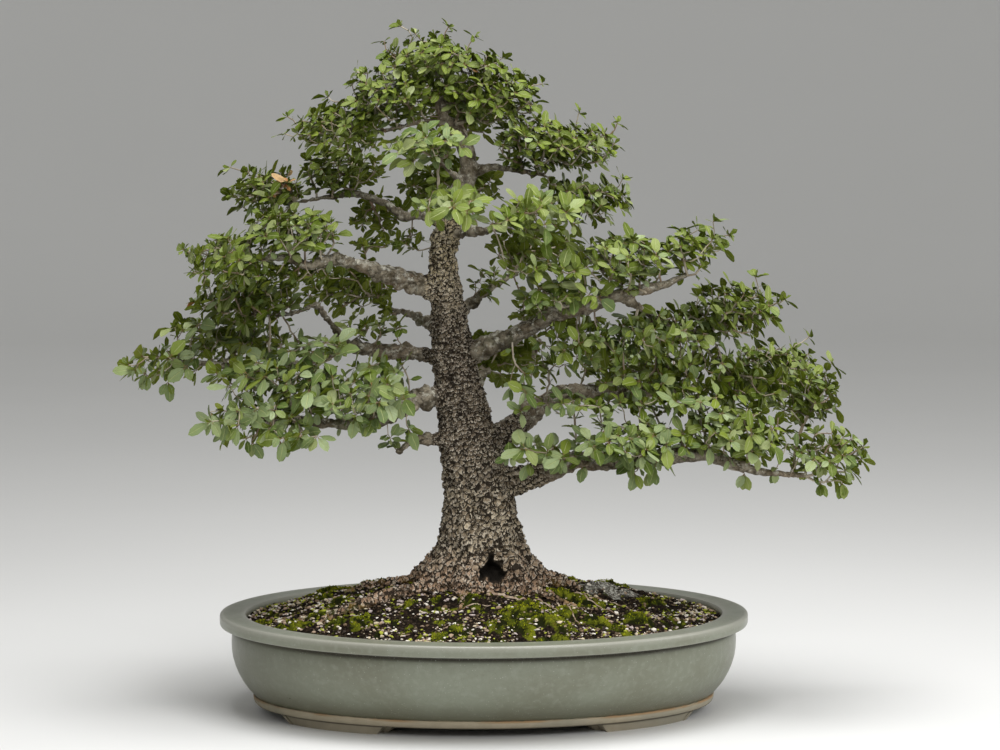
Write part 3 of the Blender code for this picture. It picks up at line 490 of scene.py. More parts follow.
HOLLOW_SIZE = (12.5, 24, 12.5)
HOLLOW_DEPTH = 17 * MM


def planted(x, y, z):
    """A place of the tree, given in its own millimetres, as it stands in the pot."""
    place = Vector((x, y, z)) * MM - LEAN_PIVOT
    place = Matrix.Rotation(TREE_TURN, 3, "Z") @ Matrix.Rotation(TREE_LEAN, 3, "Y") @ place
    return place + LEAN_PIVOT + Vector((POT_X, POT_Y, 0))


trunk_line = [(planted(x, y, z), radius * MM) for x, y, z, radius in TRUNK_LINE]


def trunk_at(z):
    """The trunk's middle and radius at a height."""
    for (low, thick), (high, thin) in zip(trunk_line, trunk_line[1:]):
        if z <= high.z:
            t = max(0, (z - low.z) / (high.z - low.z))
            return low.lerp(high, t), thick + (thin - thick) * t
    return trunk_line[-1]


def off_trunk(place):
    """How far a place lies outside the trunk's round: 0 in the flare, far over the trunk."""
    if place.z > TRUNK_TOP:
        return 1
    middle, radius = trunk_at(place.z)
    away = math.hypot(place.x - middle.x, place.y - middle.y) - radius
    return away if place.z > FLARE_TOP else 0


def stretched(place, sizes):
    """A place measured in cells of a given size."""
    return Vector([place[k] / sizes[k] for k in range(3)])


hollow_place = planted(*HOLLOW)


def old_bark(place):
    """Plates of the trunk and roots: how far they stand out, how open, and each one's tone."""
    warped = place + 2.2 * MM * noise.noise_vector(place * 140) \
        + 1.3 * MM * noise.noise_vector(place * 370)
    near, points = noise.voronoi(stretched(warped, PLATE))
    crack = smooth(near[1] - near[0], 0.0, 0.2)
    plate = noise.cell(points[0] * 3.7)
    lifted = (points[0].z - stretched(warped, PLATE).z) * 1.2
    far, _ = noise.voronoi(stretched(place + 3 * MM * noise.noise_vector(place * 80), FURROW))
    furrow = 1 - smooth(far[1] - far[0], 0.0, 0.085 + 0.06 * noise.noise(place * 40))
    rise = 1.3 * crack + (1.3 * plate + lifted) * crack - 1.5 - 1.8 * furrow \
        + 0.8 * noise.noise(place * 480) + 1.4 * noise.noise(place * 45)
    return rise, crack * (1 - 0.85 * furrow), plate


def limb_bark(place, away):
    """Knuckles, crusts and wrinkles of the limbs, slighter towards their ends."""
    near, points = noise.voronoi((place + 3 * MM * noise.noise_vector(place * 90)) / KNOT)
    plate = noise.cell(points[0] * 3.7)
    crease = smooth(near[1] - near[0], 0.0, 0.22)
    girth = max(0.32, 1.15 - away / 0.22)
    knots = (0.4 + 1.1 * plate) * (0.6 - near[0]) * 6.2 - 1.1 * (1 - crease)
    crust = smooth(noise.noise(place * 150), 0.05, 0.25)
    wrinkles = 1.1 * crust + 0.9 * noise.noise(place * 300) + 0.6 * noise.noise(place * 520)
    return girth * (knots + wrinkles - 0.6), crease * (1 - 0.5 * crust), plate


def bark_at(place):
    """Relief in metres, crack, tone and age of the bark at a place."""
    away = off_trunk(place)
    flaky = smooth(place.x, 0, 20 * MM) * (1 - smooth(place.z, 0.28, 0.32))
    old = 1 - smooth(away, 3 * MM, 16 * MM + 50 * MM * flaky)
    rise, crack, plate = old_bark(place) if old > 0 else (0, 0, 0)
    if old < 1:
        other_rise, other_crack, other_plate = limb_bark(place, away if away < 1 else 0.15)
        rise += (other_rise - rise) * (1 - old)
        crack += (other_crack - crack) * (1 - old)
        plate += (other_plate - plate) * (1 - old)
    return rise * MM * min(1, 0.45 + trunk_at(place.z)[1] / 0.03), crack, plate, old


def select_faces(piece, wanted):
    """Select the faces whose middle fits a rule."""
    bpy.ops.object.mode_set(mode="EDIT")
    bpy.ops.mesh.select_mode(type="FACE")
    bpy.ops.mesh.select_all(action="DESELECT")
    bpy.ops.object.mode_set(mode="OBJECT")
    piece.data.polygons.foreach_set("select", [wanted(p.center) for p in piece.data.polygons])
    bpy.ops.object.mode_set(mode="EDIT")


def wood_copy(name, grain, wanted):
    """The part of the wood that fits a rule, closed, in faces of the grain and with its bark."""
    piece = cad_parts["tree_wood"].copy()
    piece.data = piece.data.copy()
    piece.name = name
    piece.parent = None
    for key in list(piece.keys()):
        del piece[key]
    bpy.context.scene.collection.objects.link(piece)
    select_only(piece)
    bpy.ops.object.mode_set(mode="EDIT")
    bpy.ops.mesh.select_all(action="SELECT")
    bpy.ops.mesh.remove_doubles(threshold=0.00001)
    bpy.ops.object.mode_set(mode="OBJECT")
    modify(piece, "REMESH", mode="VOXEL", voxel_size=grain)
    modify(piece, "SMOOTH", factor=0.5, iterations=12)
    select_faces(piece, lambda middle: not wanted(middle))
    bpy.ops.mesh.delete(type="FACE")
    bpy.ops.mesh.select_all(action="SELECT")
    bpy.ops.mesh.bisect(plane_co=(0, 0, UNDERGROUND), plane_no=(0, 0, 1), clear_inner=True)
    bpy.ops.mesh.select_mode(type="EDGE")
    bpy.ops.mesh.select_all(action="DESELECT")
    bpy.ops.mesh.select_non_manifold()
    bpy.ops.mesh.fill_holes(sides=0)
    bpy.ops.object.mode_set(mode="OBJECT")
    moves, cracks, plates, ages = [], [], [], []
    for vert in piece.data.vertices:
        rise, crack, plate, old = bark_at(vert.co)
        away = (vert.co - hollow_place) / MM
        away += 6 * noise.noise_vector(vert.co * 75) + 4 * noise.noise_vector(vert.co * 190)
        away.x *= 1 + 0.9 * smooth(away.z, -4, 12)
        sunk = math.exp(-sum((away[k] / HOLLOW_SIZE[k]) ** 2 for k in range(3)) ** 1.4)
        moves.append(vert.normal * rise + Vector((0, HOLLOW_DEPTH * sunk, 0)))
        # inside the hollow the crack value drops below zero, where the bark is painted near black as
        # shade
        cracks.append(crack * (1 - smooth(sunk, 0.05, 0.4)) - smooth(sunk, 0.15, 0.85))
        plates.append(plate)
        ages.append(old)
    for vert, move in zip(piece.data.vertices, moves):
        vert.co += move
    paint(piece.data, "crack", cracks)
    paint(piece.data, "plate", plates)
    paint(piece.data, "age", ages)
    finish_mesh(piece, 180)
    return piece


wood = wood_copy("trunk_and_roots", TRUNK_GRAIN, lambda middle: off_trunk(middle) < 11 * MM)
limbs = wood_copy("limbs", LIMB_GRAIN, lambda middle: off_trunk(middle) > 7 * MM)


def shifted(material, place, scale, amount, stretch):
    """A place moved about by noise and stretched, so that a pattern on it runs irregularly."""
    moved = add_node(material, "TexNoise", {"Vector": place, "Scale": scale, "Detail": 3})
    moved = add_node(material, "VectorMath", {0: moved.outputs["Color"], 1: (0.5, 0.5, 0.5)},
                     operation="SUBTRACT")
    moved = add_node(material, "VectorMath", {0: moved.outputs[0], 1: (amount,) * 3, 2: place},
                     operation="MULTIPLY_ADD")
    return add_node(material, "VectorMath", {0: moved.outputs[0], 1: stretch},
                    operation="MULTIPLY").outputs[0]


bark, shader, place = new_material("oak_bark", 0.85, 0.25)
crack = attribute(bark, "crack")
plate = attribute(bark, "plate")
old = attribute(bark, "age")
z = axis_of(bark, place)
low = sums(bark, z, sums(bark, clouds(bark, place, 45), 0.05), "ADD")
up = axis_of(bark, add_node(bark, "TexCoord").outputs["Normal"])
finer = between(bark, z, 0.12, 0.42, 1.0, 1.55)
spot = shifted(bark, place, 230, 0.007, (1, 1, 0.62))
spot = add_node(bark, "VectorMath", {0: spot, 3: finer}, operation="SCALE").outputs[0]
flakes = add_node(bark, "TexVoronoi", {"Vector": spot, "Scale": FLAKES})
flake = add_node(bark, "SeparateColor", {0: flakes.outputs["Color"]}).outputs[0]
tilt = add_node(bark, "VectorMath", {0: spot, 1: flakes.outputs["Position"]}, operation="SUBTRACT")
tilt = add_node(bark, "VectorMath", {0: tilt.outputs[0], 1: FLAKE_LEAN},
                operation="DOT_PRODUCT").outputs["Value"]
rim = sums(bark, cells(bark, spot, FLAKES, "DISTANCE_TO_EDGE"),
           patchy(bark, place, 210, 0.38, 0.6, -0.03, 0.085), "SUBTRACT")
gap = sums(bark, between(bark, rim, 0.095, 0.025), between(bark, flake, 0.06, 0.03), "MAXIMUM")
# pale edges of the flakes: partly worn, partly a painted highlight, strongest on their lower, lifted
# edges
worn_and_lit_edges = sums(bark, between(bark, rim, 0.04, 0.1), between(bark, rim, 0.25, 0.14))
worn_and_lit_edges = sums(bark, worn_and_lit_edges, between(bark, tilt, -0.25, 0.3, 0, 0.8))
shaded = sums(bark, between(bark, low, 0.215, 0.27), between(bark, low, 0.405, 0.36, 0, 0.85))
rust = between(bark, low, 0.185, 0.14, 0, 0.85)
face = coats(bark, (0.32, 0.245, 0.15),
             (between(bark, flake, 0.1, 0.9), (0.79, 0.66, 0.465)),
             (sums(bark, plate, 0.35), (0.6, 0.53, 0.41)),
             (between(bark, rim, 0.2, 0.4, 0, 0.4), (0.2, 0.15, 0.1)),
             (patchy(bark, place, 18, 0.5, 0.7, 0, 0.5), (0.27, 0.19, 0.12)),
             (patchy(bark, place, 26, 0.4, 0.3, 0, 0.45), (0.25, 0.255, 0.185)),
             (shaded, (0.15, 0.11, 0.07)),
             (between(bark, low, 0.39, 0.44, 0, 0.6), (0.78, 0.65, 0.38)),
             (rust, (0.5, 0.3, 0.185)),
             (worn_and_lit_edges, (0.86, 0.77, 0.63)),
             # painted shade on the upper part of each flake, under the edge of the one above
             (between(bark, tilt, -0.05, -0.5, 0, 0.65), (0.11, 0.08, 0.05)),
             (patchy(bark, place, 600, 0.52, 0.68, 0, 0.42, 5, 0.8), (0.85, 0.78, 0.66)))
crust = sums(bark, patchy(bark, place, 150, 0.5, 0.6, 0, 1, 5, 0.75),
             between(bark, flake, 0.2, 0.6, 0.35, 0.95))
# more crust on the limbs' upper sides, so they are lighter there: partly crust, partly painted light
# on their tops
crust = sums(bark, crust, between(bark, up, -0.4, 0.3, 0.3, 1))
pits = between(bark, cells(bark, spot, 430), 0.2, 0.12, 0, 0.85)
limb = coats(bark, (0.12, 0.096, 0.058),
             (patchy(bark, place, 80, 0.36, 0.62, 0, 1, 4, 0.65), (0.43, 0.375, 0.28)),
             # painted shade on the undersides of the limbs
             (between(bark, up, 0.0, -0.7, 0, 0.55), (0.075, 0.058, 0.036)),
             (patchy(bark, place, 28, 0.5, 0.66, 0, 0.45), (0.34, 0.25, 0.17)),
             (patchy(bark, place, 22, 0.44, 0.34, 0, 0.5), (0.21, 0.215, 0.12)),
             (crust, (0.8, 0.77, 0.66)),
             (pits, (0.04, 0.03, 0.018)))
is_old = between(bark, old, 0.15, 0.6)
# the dark cracks between plates and flakes: partly the bark's own dark colour, partly painted shade
# in them
deep = sums(bark, between(bark, crack, 0.24, 0.03), between(bark, old, 0, 0.6, 0.5, 0.95))
deep = sums(bark, deep, sums(bark, sums(bark, gap, 0.95), is_old), "MAXIMUM")
algae = sums(bark, between(bark, low, 0.14, 0.118), patchy(bark, place, 70, 0.46, 0.56, 0, 0.7))
gold = sums(bark, between(bark, low, 0.15, 0.128), patchy(bark, place, 120, 0.52, 0.62, 0, 0.65))
skin = coats(bark, limb,
             (is_old, face),
             (deep, (0.023, 0.016, 0.01)),
             # painted shade: near black inside the hollow between the front roots
             (between(bark, crack, 0.0, -0.5), (0.01, 0.007, 0.004)),
             (algae, (0.1, 0.12, 0.012)),
             (gold, (0.33, 0.2, 0.035)))
height = sums(bark, sums(bark, gap, -0.8), flake, "ADD")
height = sums(bark, height, sums(bark, tilt, 0.9), "ADD")
height = sums(bark, height, sums(bark, clouds(bark, place, 480, 6, 0.75), 1.6), "ADD")
connect(bark, shader, skin, relief=height, distance=0.0011)
give(wood, "trunk_and_roots", bark, "bark", "tree_wood")
give(limbs, "limbs", bark, "bark", "tree_wood")


# Surface roots. Thin living roots run out of the flare over the soil, pinkish where they are
# young. They are tubes that follow the ground, half sunk in it.

SURFACE_ROOTS = (                # radius at the start, and the way in the tree's own x and y
    (2.1, ((2, -48), (13, -57), (25, -63), (37, -69), (47, -77))),
    (1.1, ((46, -62), (54, -78), (66, -98))),
    (1.2, ((58, -50), (64, -68), (72, -86), (84, -112))),
    (0.9, ((80, -46), (99, -64), (120, -74))),
    (1.0, ((88, -34), (110, -45), (136, -55))),
    (0.9, ((-22, -88), (-8, -82), (8, -78))),
    (1.6, ((-64, -40), (-92, -62), (-118, -70))),
)
ROOT_STEP = 3 * MM


def add_object(name, data):
    """A new object in the scene."""
    item = bpy.data.objects.new(name, data)
    bpy.context.scene.collection.objects.link(item)
    return item


def tubes(name, places, parents, tips, girths):
    """Tapered tubes along branching lines: one for each run from a tip to where it joins."""
    curve = bpy.data.curves.new(name, "CURVE")
    curve.dimensions = "3D"
    curve.bevel_depth = 1
    curve.bevel_resolution = 0
    curve.use_fill_caps = True
    drawn = set()
    for tip in tips:
        run = [tip]
        while parents[run[-1]] is not None and parents[run[-1]] not in drawn:
            drawn.add(run[-1])
            run.append(parents[run[-1]])
        drawn.add(run[-1])
        if parents[run[-1]] is not None:
            run.append(parents[run[-1]])
        spline = curve.splines.new("POLY")
        spline.points.add(len(run) - 1)
        for point, index in zip(spline.points, run):
            point.co = (*places[index], 1)
            point.radius = girths[index]
        if len(run) > 1:
            spline.points[-1].radius = girths[run[-2]]
    select_only(add_object(name, curve))
    bpy.ops.object.convert(target="MESH")
    bpy.ops.object.mode_set(mode="EDIT")
    bpy.ops.mesh.select_all(action="SELECT")
    bpy.ops.mesh.remove_doubles(threshold=0.00002)
    bpy.ops.mesh.normals_make_consistent(inside=False)
    bpy.ops.object.mode_set(mode="OBJECT")
    bpy.ops.object.shade_smooth_by_angle(angle=math.radians(60))
    return bpy.context.object


places, parents, tips, girths = [], [], [], []
for radius, line in SURFACE_ROOTS:
    line = [planted(x, y, 0) for x, y in line]
    whole = sum((b - a).length for a, b in zip(line, line[1:]))
    run = 0
    last = None
    for a, b in zip(line, line[1:]):
        steps = max(1, round((b - a).length / ROOT_STEP))
        for k in range(steps):
            spot = a.lerp(b, k / steps)
            spot += 1.6 * MM * noise.noise_vector(spot * 90)
            girth = radius * MM * (1 - 0.6 * (run + (b - a).length * k / steps) / whole)
            spot.z = soil_surface(spot.x, spot.y)[0] + 0.4 * girth
            places.append(spot)
            parents.append(last)
            girths.append(girth)
            last = len(places) - 1
        run += (b - a).length
    tips.append(last)
surface_roots = tubes("surface_roots", places, parents, tips, girths)
root_skin, shader, place = new_material("root_bark", 0.85, 0.2)
shade = blend_colour(root_skin, patchy(root_skin, place, 160, 0.35, 0.65, detail=4),
                     (0.26, 0.16, 0.1), (0.6, 0.49, 0.38))
connect(root_skin, shader, shade, relief=clouds(root_skin, place, 700, 4), distance=0.0006)
give(surface_roots, "surface_roots", root_skin, "bark")


# Top dressing. White and pinkish grit, crushed lava and bark chips lie pressed into the soil,
# thickest along the pot's edge, and short moss shoots stand on the cushions.

STONES = 5300
STONE_KINDS = 5
SMALL_STONES = (0.75 * MM, 1.45 * MM)
LARGE_STONES = (1.45 * MM, 2.6 * MM)
SMALL_SHARE = 0.7
SHOOTS = 11000


def mesh_arrays(item):
    """Points, triangles and per-corner map of a small model, and the model taken away."""
    shape = bmesh.new()
    shape.from_mesh(item.data)
    bmesh.ops.triangulate(shape, faces=shape.faces)
    shape.to_mesh(item.data)
    shape.free()
    points = np.array([v.co for v in item.data.vertices])
    faces = np.array([p.vertices for p in item.data.polygons])
    chart = np.array([corner.uv for corner in item.data.uv_layers.active.data])
    under = np.repeat([float(p.normal.z < 0) for p in item.data.polygons], 3)
    bpy.data.objects.remove(item)
    return points, faces, chart, under


def lay_out(name, models, picks, matrices, values):
    """One mesh with a copy of a small model at each place, and its values painted on it."""
    points, faces, charts, sides, start = [], [], [], [], 0
    painted = {key: [] for key in values}
    for k, (pick, matrix) in enumerate(zip(picks, matrices)):
        shape, triangles, chart, under = models[pick]
        turn = np.array(matrix)
        points.append(shape @ turn[:3, :3].T + turn[:3, 3])
        faces.append(triangles + start)
        charts.append(chart)
        sides.append(under)
        for key in values:
            painted[key].append(np.full(len(shape), values[key][k]))
        start += len(shape)
    mesh = bpy.data.meshes.new(name)
    mesh.from_pydata(np.concatenate(points).tolist(), [], np.concatenate(faces).tolist())
    flat = mesh.uv_layers.new(name="UVMap")
    flat.data.foreach_set("uv", np.concatenate(charts).ravel())
    paint(mesh, "under", np.concatenate(sides), "CORNER")
    for key, parts in painted.items():
        paint(mesh, key, np.concatenate(parts))
    return add_object(name, mesh)


def random_on_soil(draw):
    """A random place on the soil."""
    wide, deep = half_axes(SOIL_INSET + 2 * MM, SOIL_EDGE_Z)
    reach = math.sqrt(draw.random())
    turn = draw.uniform(0, 2 * math.pi)
    return POT_X + wide * reach * math.cos(turn), POT_Y + deep * reach * math.sin(turn), reach


wood_tree = BVHTree.FromPolygons([v.co for v in wood.data.vertices],
                                 [p.vertices for p in wood.data.polygons])


def free_of_wood(place):
    """Whether a place on the soil is clear of the trunk and roots."""
    up = Vector((0, 0, 1))
    return wood_tree.ray_cast(place - up * 3 * MM, up, 0.2)[0] is None


draw = random.Random(7)
stone_models = []
for _ in range(STONE_KINDS):
    deselect()
    bpy.ops.mesh.primitive_ico_sphere_add(subdivisions=1, radius=1)
    stone = bpy.context.object
    for vert in stone.data.vertices:
        vert.co *= draw.uniform(0.62, 1.2)
    stone_models.append(mesh_arrays(stone))
picks, matrices, tones = [], [], []
while len(picks) < STONES:
    x, y, reach = random_on_soil(draw)
    left = smooth(POT_X - x, 0.08, 0.17)
    front = smooth(reach, 0.62, 0.95)
    height, moss, dry, _ = soil_surface(x, y)
    crowd = smooth(noise.noise(Vector((x, y, 0.2)) * 52), -0.25, 0.25)
    thick = max(0.3, 0.95 * front, 0.95 * left) * (0.2 + 0.8 * crowd)
    if draw.random() > thick * (1 - 0.8 * moss) * (1 - 0.5 * dry):
        continue
    place = Vector((x, y, height))
    if not free_of_wood(place):
        continue
    size = draw.uniform(*(SMALL_STONES if draw.random() < SMALL_SHARE else LARGE_STONES))
    turn = Matrix.Rotation(draw.uniform(0, 6.28), 4, "Z")
    turn = turn @ Matrix.Rotation(draw.uniform(-0.6, 0.6), 4, "X")
    scale = Matrix.Diagonal((size * draw.uniform(0.9, 1.4), size, size * draw.uniform(0.4, 0.8), 1))
    matrices.append(Matrix.Translation(place + Vector((0, 0, 0.2 * size))) @ turn @ scale)
    picks.append(draw.randrange(STONE_KINDS))
    tones.append(draw.random())
grit = lay_out("grit", stone_models, picks, matrices, {"tone": tones})
stone_skin, shader, place = new_material("white_and_pink_grit", 0.8, 0.3)
tone = attribute(stone_skin, "tone")
shade = (0.03, 0.02, 0.014)
for share, colour in ((0.15, (0.2, 0.135, 0.08)), (0.32, (0.45, 0.33, 0.235)),
                      (0.46, (0.42, 0.45, 0.05)), (0.6, (0.55, 0.46, 0.44)),
                      (0.72, (0.66, 0.56, 0.4)), (0.84, (0.9, 0.84, 0.74))):
    shade = blend_colour(stone_skin, between(stone_skin, tone, share, share + 0.01), shade, colour)
shade = blend_colour(stone_skin, patchy(stone_skin, place, 700, 0.55, 0.8, 0, 0.5), shade,
                     (0.14, 0.1, 0.07))
connect(stone_skin, shader, shade, relief=clouds(stone_skin, place, 1500, 3), distance=0.0003)
finish_mesh(grit, 15)
give(grit, "grit", stone_skin, "soil")

deselect()
bpy.ops.mesh.primitive_cone_add(vertices=3, radius1=0.5, radius2=0, depth=1, location=(0, 0, 0.4))
shoot = bpy.context.object
finish_mesh(shoot)
shoot_models = [mesh_arrays(shoot)]
matrices, tones = [], []
while len(matrices) < SHOOTS:
    x, y, _ = random_on_soil(draw)
    height, moss, _, lump = soil_surface(x, y)
    if draw.random() > (moss - 0.15) * smooth(lump, -0.1, 0.4):
        continue
    place = Vector((x, y, height - 0.3 * MM))
    lean = Vector((draw.gauss(0, 0.45), draw.gauss(0, 0.45), 1)).to_track_quat("Z", "Y")
    size = Matrix.Diagonal((draw.uniform(0.8, 1.5) * MM,) * 2 + (draw.uniform(0.9, 2.1) * MM, 1))
    matrices.append(Matrix.Translation(place) @ lean.to_matrix().to_4x4() @ size)
    # shoots on the tops of the lumps are painted lighter and those between them darker, as painted
    # light and shade, with random tone besides
    shade = 1.1 * noise.noise(Vector((x, y, 0)) * 45) + 1.5 * (lump - 0.35)
    tones.append(min(1, max(0, 0.36 + draw.gauss(0, 0.3) + shade)))
shoots = lay_out("moss_shoots", shoot_models, [0] * SHOOTS, matrices, {"tone": tones})
moss_skin, shader, place = new_material("moss_green", 0.9, 0.05)
tone = attribute(moss_skin, "tone")
shade = coats(moss_skin, (0.022, 0.032, 0.002),
              # each shoot's tone holds its painted light and shade as well as its own colour
              (tone, (0.36, 0.375, 0.014)),
              (patchy(moss_skin, place, 90, 0.52, 0.7, 0, 0.7), (0.13, 0.09, 0.02)))
connect(moss_skin, shader, shade)
give(shoots, "moss_shoots", moss_skin, "soil")


# Foliage. Short twigs branch from the limbs and end in whorls of leathery leaves: grey-green
# and glossy above, with a pale rib, yellower while young and on the underside. Each spray of
# twigs and leaves fills the space of its own spray in the frame.

# For each spray: length of its largest leaves, how young its leaves are, and the middle and
# half size of each of its lobes in the tree's own millimetres
SPRAYS = {
    "left_low_inner": (20, 0.03, ((-120, -72, 296), (60, 48, 25)), ((-64, -44, 264), (16, 16, 16))),
    "left_low_outer": (20, 0.02, ((-202, -90, 277), (48, 44, 23)), ((-170, -104, 264), (34, 24, 8))),
    "left_low_top": (19, 0.04, ((-186, -60, 312), (58, 46, 22)), ((-146, -50, 334), (34, 28, 14)),
                     ((-90, -40, 316), (32, 26, 11))),
    "left_stub": (14, 0.2, ((-82, -42, 250), (14, 16, 7))),
    "left_wide_tip": (19, 0.05, ((-287, -6, 318), (42, 40, 20)), ((-262, -8, 350), (26, 28, 14))),
    "left_wide_mid": (16, 0.34, ((-222, 34, 336), (52, 44, 24))),
    "left_fork": (15.5, 0.38, ((-210, -10, 374), (56, 48, 26)), ((-98, 6, 350), (38, 24, 13))),
    "left_high_tip": (16, 0.42, ((-222, -62, 412), (42, 48, 32))),
    "left_high_mid": (14, 0.42, ((-166, -56, 438), (46, 46, 26)), ((-166, -40, 400), (38, 32, 14)),
                      ((-96, -8, 424), (24, 20, 9))),
    "left_upper_tip": (14, 0.5, ((-194, 22, 472), (40, 44, 26))),
    "left_upper_mid": (14, 0.5, ((-126, 34, 488), (44, 44, 24)), ((-94, 50, 448), (30, 26, 24)),
                       ((-64, 18, 424), (22, 20, 12))),
    "left_top": (13.5, 0.55, ((-126, -36, 526), (44, 42, 28))),
    "crown_left": (13, 0.55, ((-80, -30, 558), (46, 44, 30))),
    "crown_tip": (13, 0.6, ((-44, -24, 588), (48, 38, 23)), ((4, -24, 580), (28, 28, 19)),
                  ((-24, -26, 562), (26, 26, 16))),
    "crown_right": (13, 0.55, ((14, -22, 554), (46, 44, 30))),
    "crown_front": (17, 0.25, ((-48, -74, 514), (42, 30, 20))),
    "right_top_tip": (14, 0.5, ((86, -36, 512), (42, 40, 24))),
    "right_top_mid": (14, 0.5, ((48, -36, 516), (40, 42, 28))),
    "right_top_low": (15, 0.4, ((96, -36, 462), (40, 40, 26))),
    "front_left": (18, 0.35, ((-26, -88, 462), (36, 32, 20))),
    "front_right": (18.5, 0.4, ((46, -84, 450), (44, 36, 24)), ((54, -78, 406), (42, 30, 12))),
    "right_high_tip": (16, 0.5, ((190, -44, 422), (32, 36, 22))),
    "right_high_mid": (16, 0.42, ((128, -52, 412), (50, 46, 26))),
    "right_high_low": (18, 0.32, ((72, -70, 382), (42, 36, 18)), ((92, -44, 336), (40, 32, 22))),
    "right_spur_tip": (16, 0.45, ((226, -12, 362), (50, 44, 29))),
    "right_spur_mid": (16, 0.2, ((160, -34, 342), (50, 44, 28)), ((150, -30, 302), (56, 34, 18)),
                       ((204, -24, 312), (36, 28, 16))),
    "right_mid_inner": (16, 0.25, ((136, 76, 306), (52, 44, 24)), ((60, 22, 316), (24, 22, 16))),
    "right_mid_tip": (16, 0.32, ((262, 62, 302), (54, 46, 30)), ((292, 2, 286), (40, 38, 30)),
                      ((238, -6, 290), (44, 34, 22))),
    "right_riser": (15, 0.3, ((56, 92, 352), (34, 34, 20))),
    "right_low_inner": (19.5, 0.08, ((52, -54, 240), (38, 26, 16)), ((34, -46, 296), (18, 16, 26))),
    "right_low_mid": (18, 0.12, ((136, -72, 251), (54, 44, 25)), ((92, -48, 284), (42, 32, 16))),
    "right_low_outer": (18, 0.22, ((226, -58, 257), (56, 48, 29)), ((180, -50, 286), (58, 36, 18))),
    "right_low_tip": (18, 0.25, ((310, -46, 236), (42, 40, 28))),
    "back_low": (16, 0.3, ((8, 142, 308), (50, 38, 25))),
    "back_left": (15, 0.3, ((-126, 118, 376), (46, 40, 26))),
    "back_right": (15, 0.3, ((52, 110, 412), (48, 40, 24)), ((4, 28, 386), (20, 20, 20))),
    "back_high": (16, 0.4, ((-28, 88, 472), (52, 40, 28))),
    "back_top": (16, 0.5, ((-20, 58, 540), (46, 38, 28))),
}
HANGING = {                      # single shoots under the lowest limbs
    "right_low_inner": ((70, -66, 236), (88, -60, 229)),
    "right_low_mid": ((134, -74, 225), (150, -64, 226)),
    "right_low_outer": ((232, -62, 222), (260, -58, 224)),
    "right_low_tip": ((300, -52, 212), (320, -50, 212)),
    "left_wide_tip": ((-282, -20, 304), (-304, -14, 312)),
    "left_low_outer": ((-238, -92, 284), (-202, -96, 258)),
    "left_low_inner": ((-178, -88, 258), (-112, -78, 277), (-96, -74, 276)),
}
REACHING = {                     # single shoots that stick out of the crown
    "crown_tip": ((-69, -24, 619), (-56, -30, 612), (-84, -26, 606), (-27, -28, 618),
                  (-4, -26, 609), (20, -24, 590), (-40, -10, 612)),
    "crown_right": ((38, -26, 575), (56, -22, 567)),
    "right_top_tip": ((88, -30, 541), (122, -34, 532)),
    "crown_left": ((-109, -30, 579), (-134, -28, 557)),
    "left_top": ((-170, -34, 540), (-172, -40, 525)),
    "right_top_low": ((126, -36, 482), (131, -30, 461)),
    "left_high_tip": ((-262, -60, 424),),
    "left_upper_tip": ((-226, 20, 494),),
    "right_high_tip": ((206, -44, 444), (220, -40, 432)),
    "right_spur_tip": ((246, -14, 392), (272, -12, 372)),
    "right_mid_tip": ((300, 58, 332), (316, 8, 312)),
}
DEAD_SPOTS = (                   # where withered leaves hang, seen from the front: x and z
    (-172, 481), (-181, 468), (-66, 425), (-80, 421), (-2, 580), (-259, 375),
)
WHORL_SHARE = 0.745              # distance between the ends of twigs, by the leaf's length
SEED_SPACE = 11 * MM             # distance between the places where twigs leave a limb
SEED_STEPS = (23, 60)            # of the points of limbs and trunk, one in so many may bear a twig
SEED_TRUNK = 400 * MM            # and on the trunk only above this height
SEED_LEAST = (8, 30)             # with fewer points than this by a lobe, so many nearest serve
END_TRIES = 1500
END_MARGIN = (7 * MM, 7 * MM, 6 * MM)        # the ends keep this far inside their lobe
RUN_COST = 0.45                  # how much a twig would rather be short than branch at once
TWIG_STEP = 6 * MM
TWIG_TIP = 0.5 * MM
TWIG_ROOT = 1.8 * MM
PIPE = 2.6                       # how the girths of twigs add up where they join
LEAF_ROWS = (                    # place along a leaf from the root of its blade, and its width
    (-0.2, 0), (0, 0.12), (0.22, 0.76), (0.55, 1), (0.84, 0.66), (1, 0),
)
SMALL_ROWS = ((-0.2, 0), (0.06, 0.34), (0.66, 1), (1, 0))
SMALL_UNDER = 8.5 * MM           # leaves shorter than this have the simpler outline
LEAF_BODY = 0.018
LEAF_KINDS = 8                   # models of each of the two outlines
WHORL_LEAVES = (4, 5, 5, 6)
BUD_LEAVES = (0, 1, 1, 2)
LEAF_TURN = 2.4                  # angle from one leaf of a whorl to the next
LEAFY_RUN = 0.86                 # chance that a twig bears a leaf a step further back
DEAD_REACH = 5 * MM
DEAD_SHARES = (0.2, 0.0003)      # share of withered leaves at those spots and elsewhere


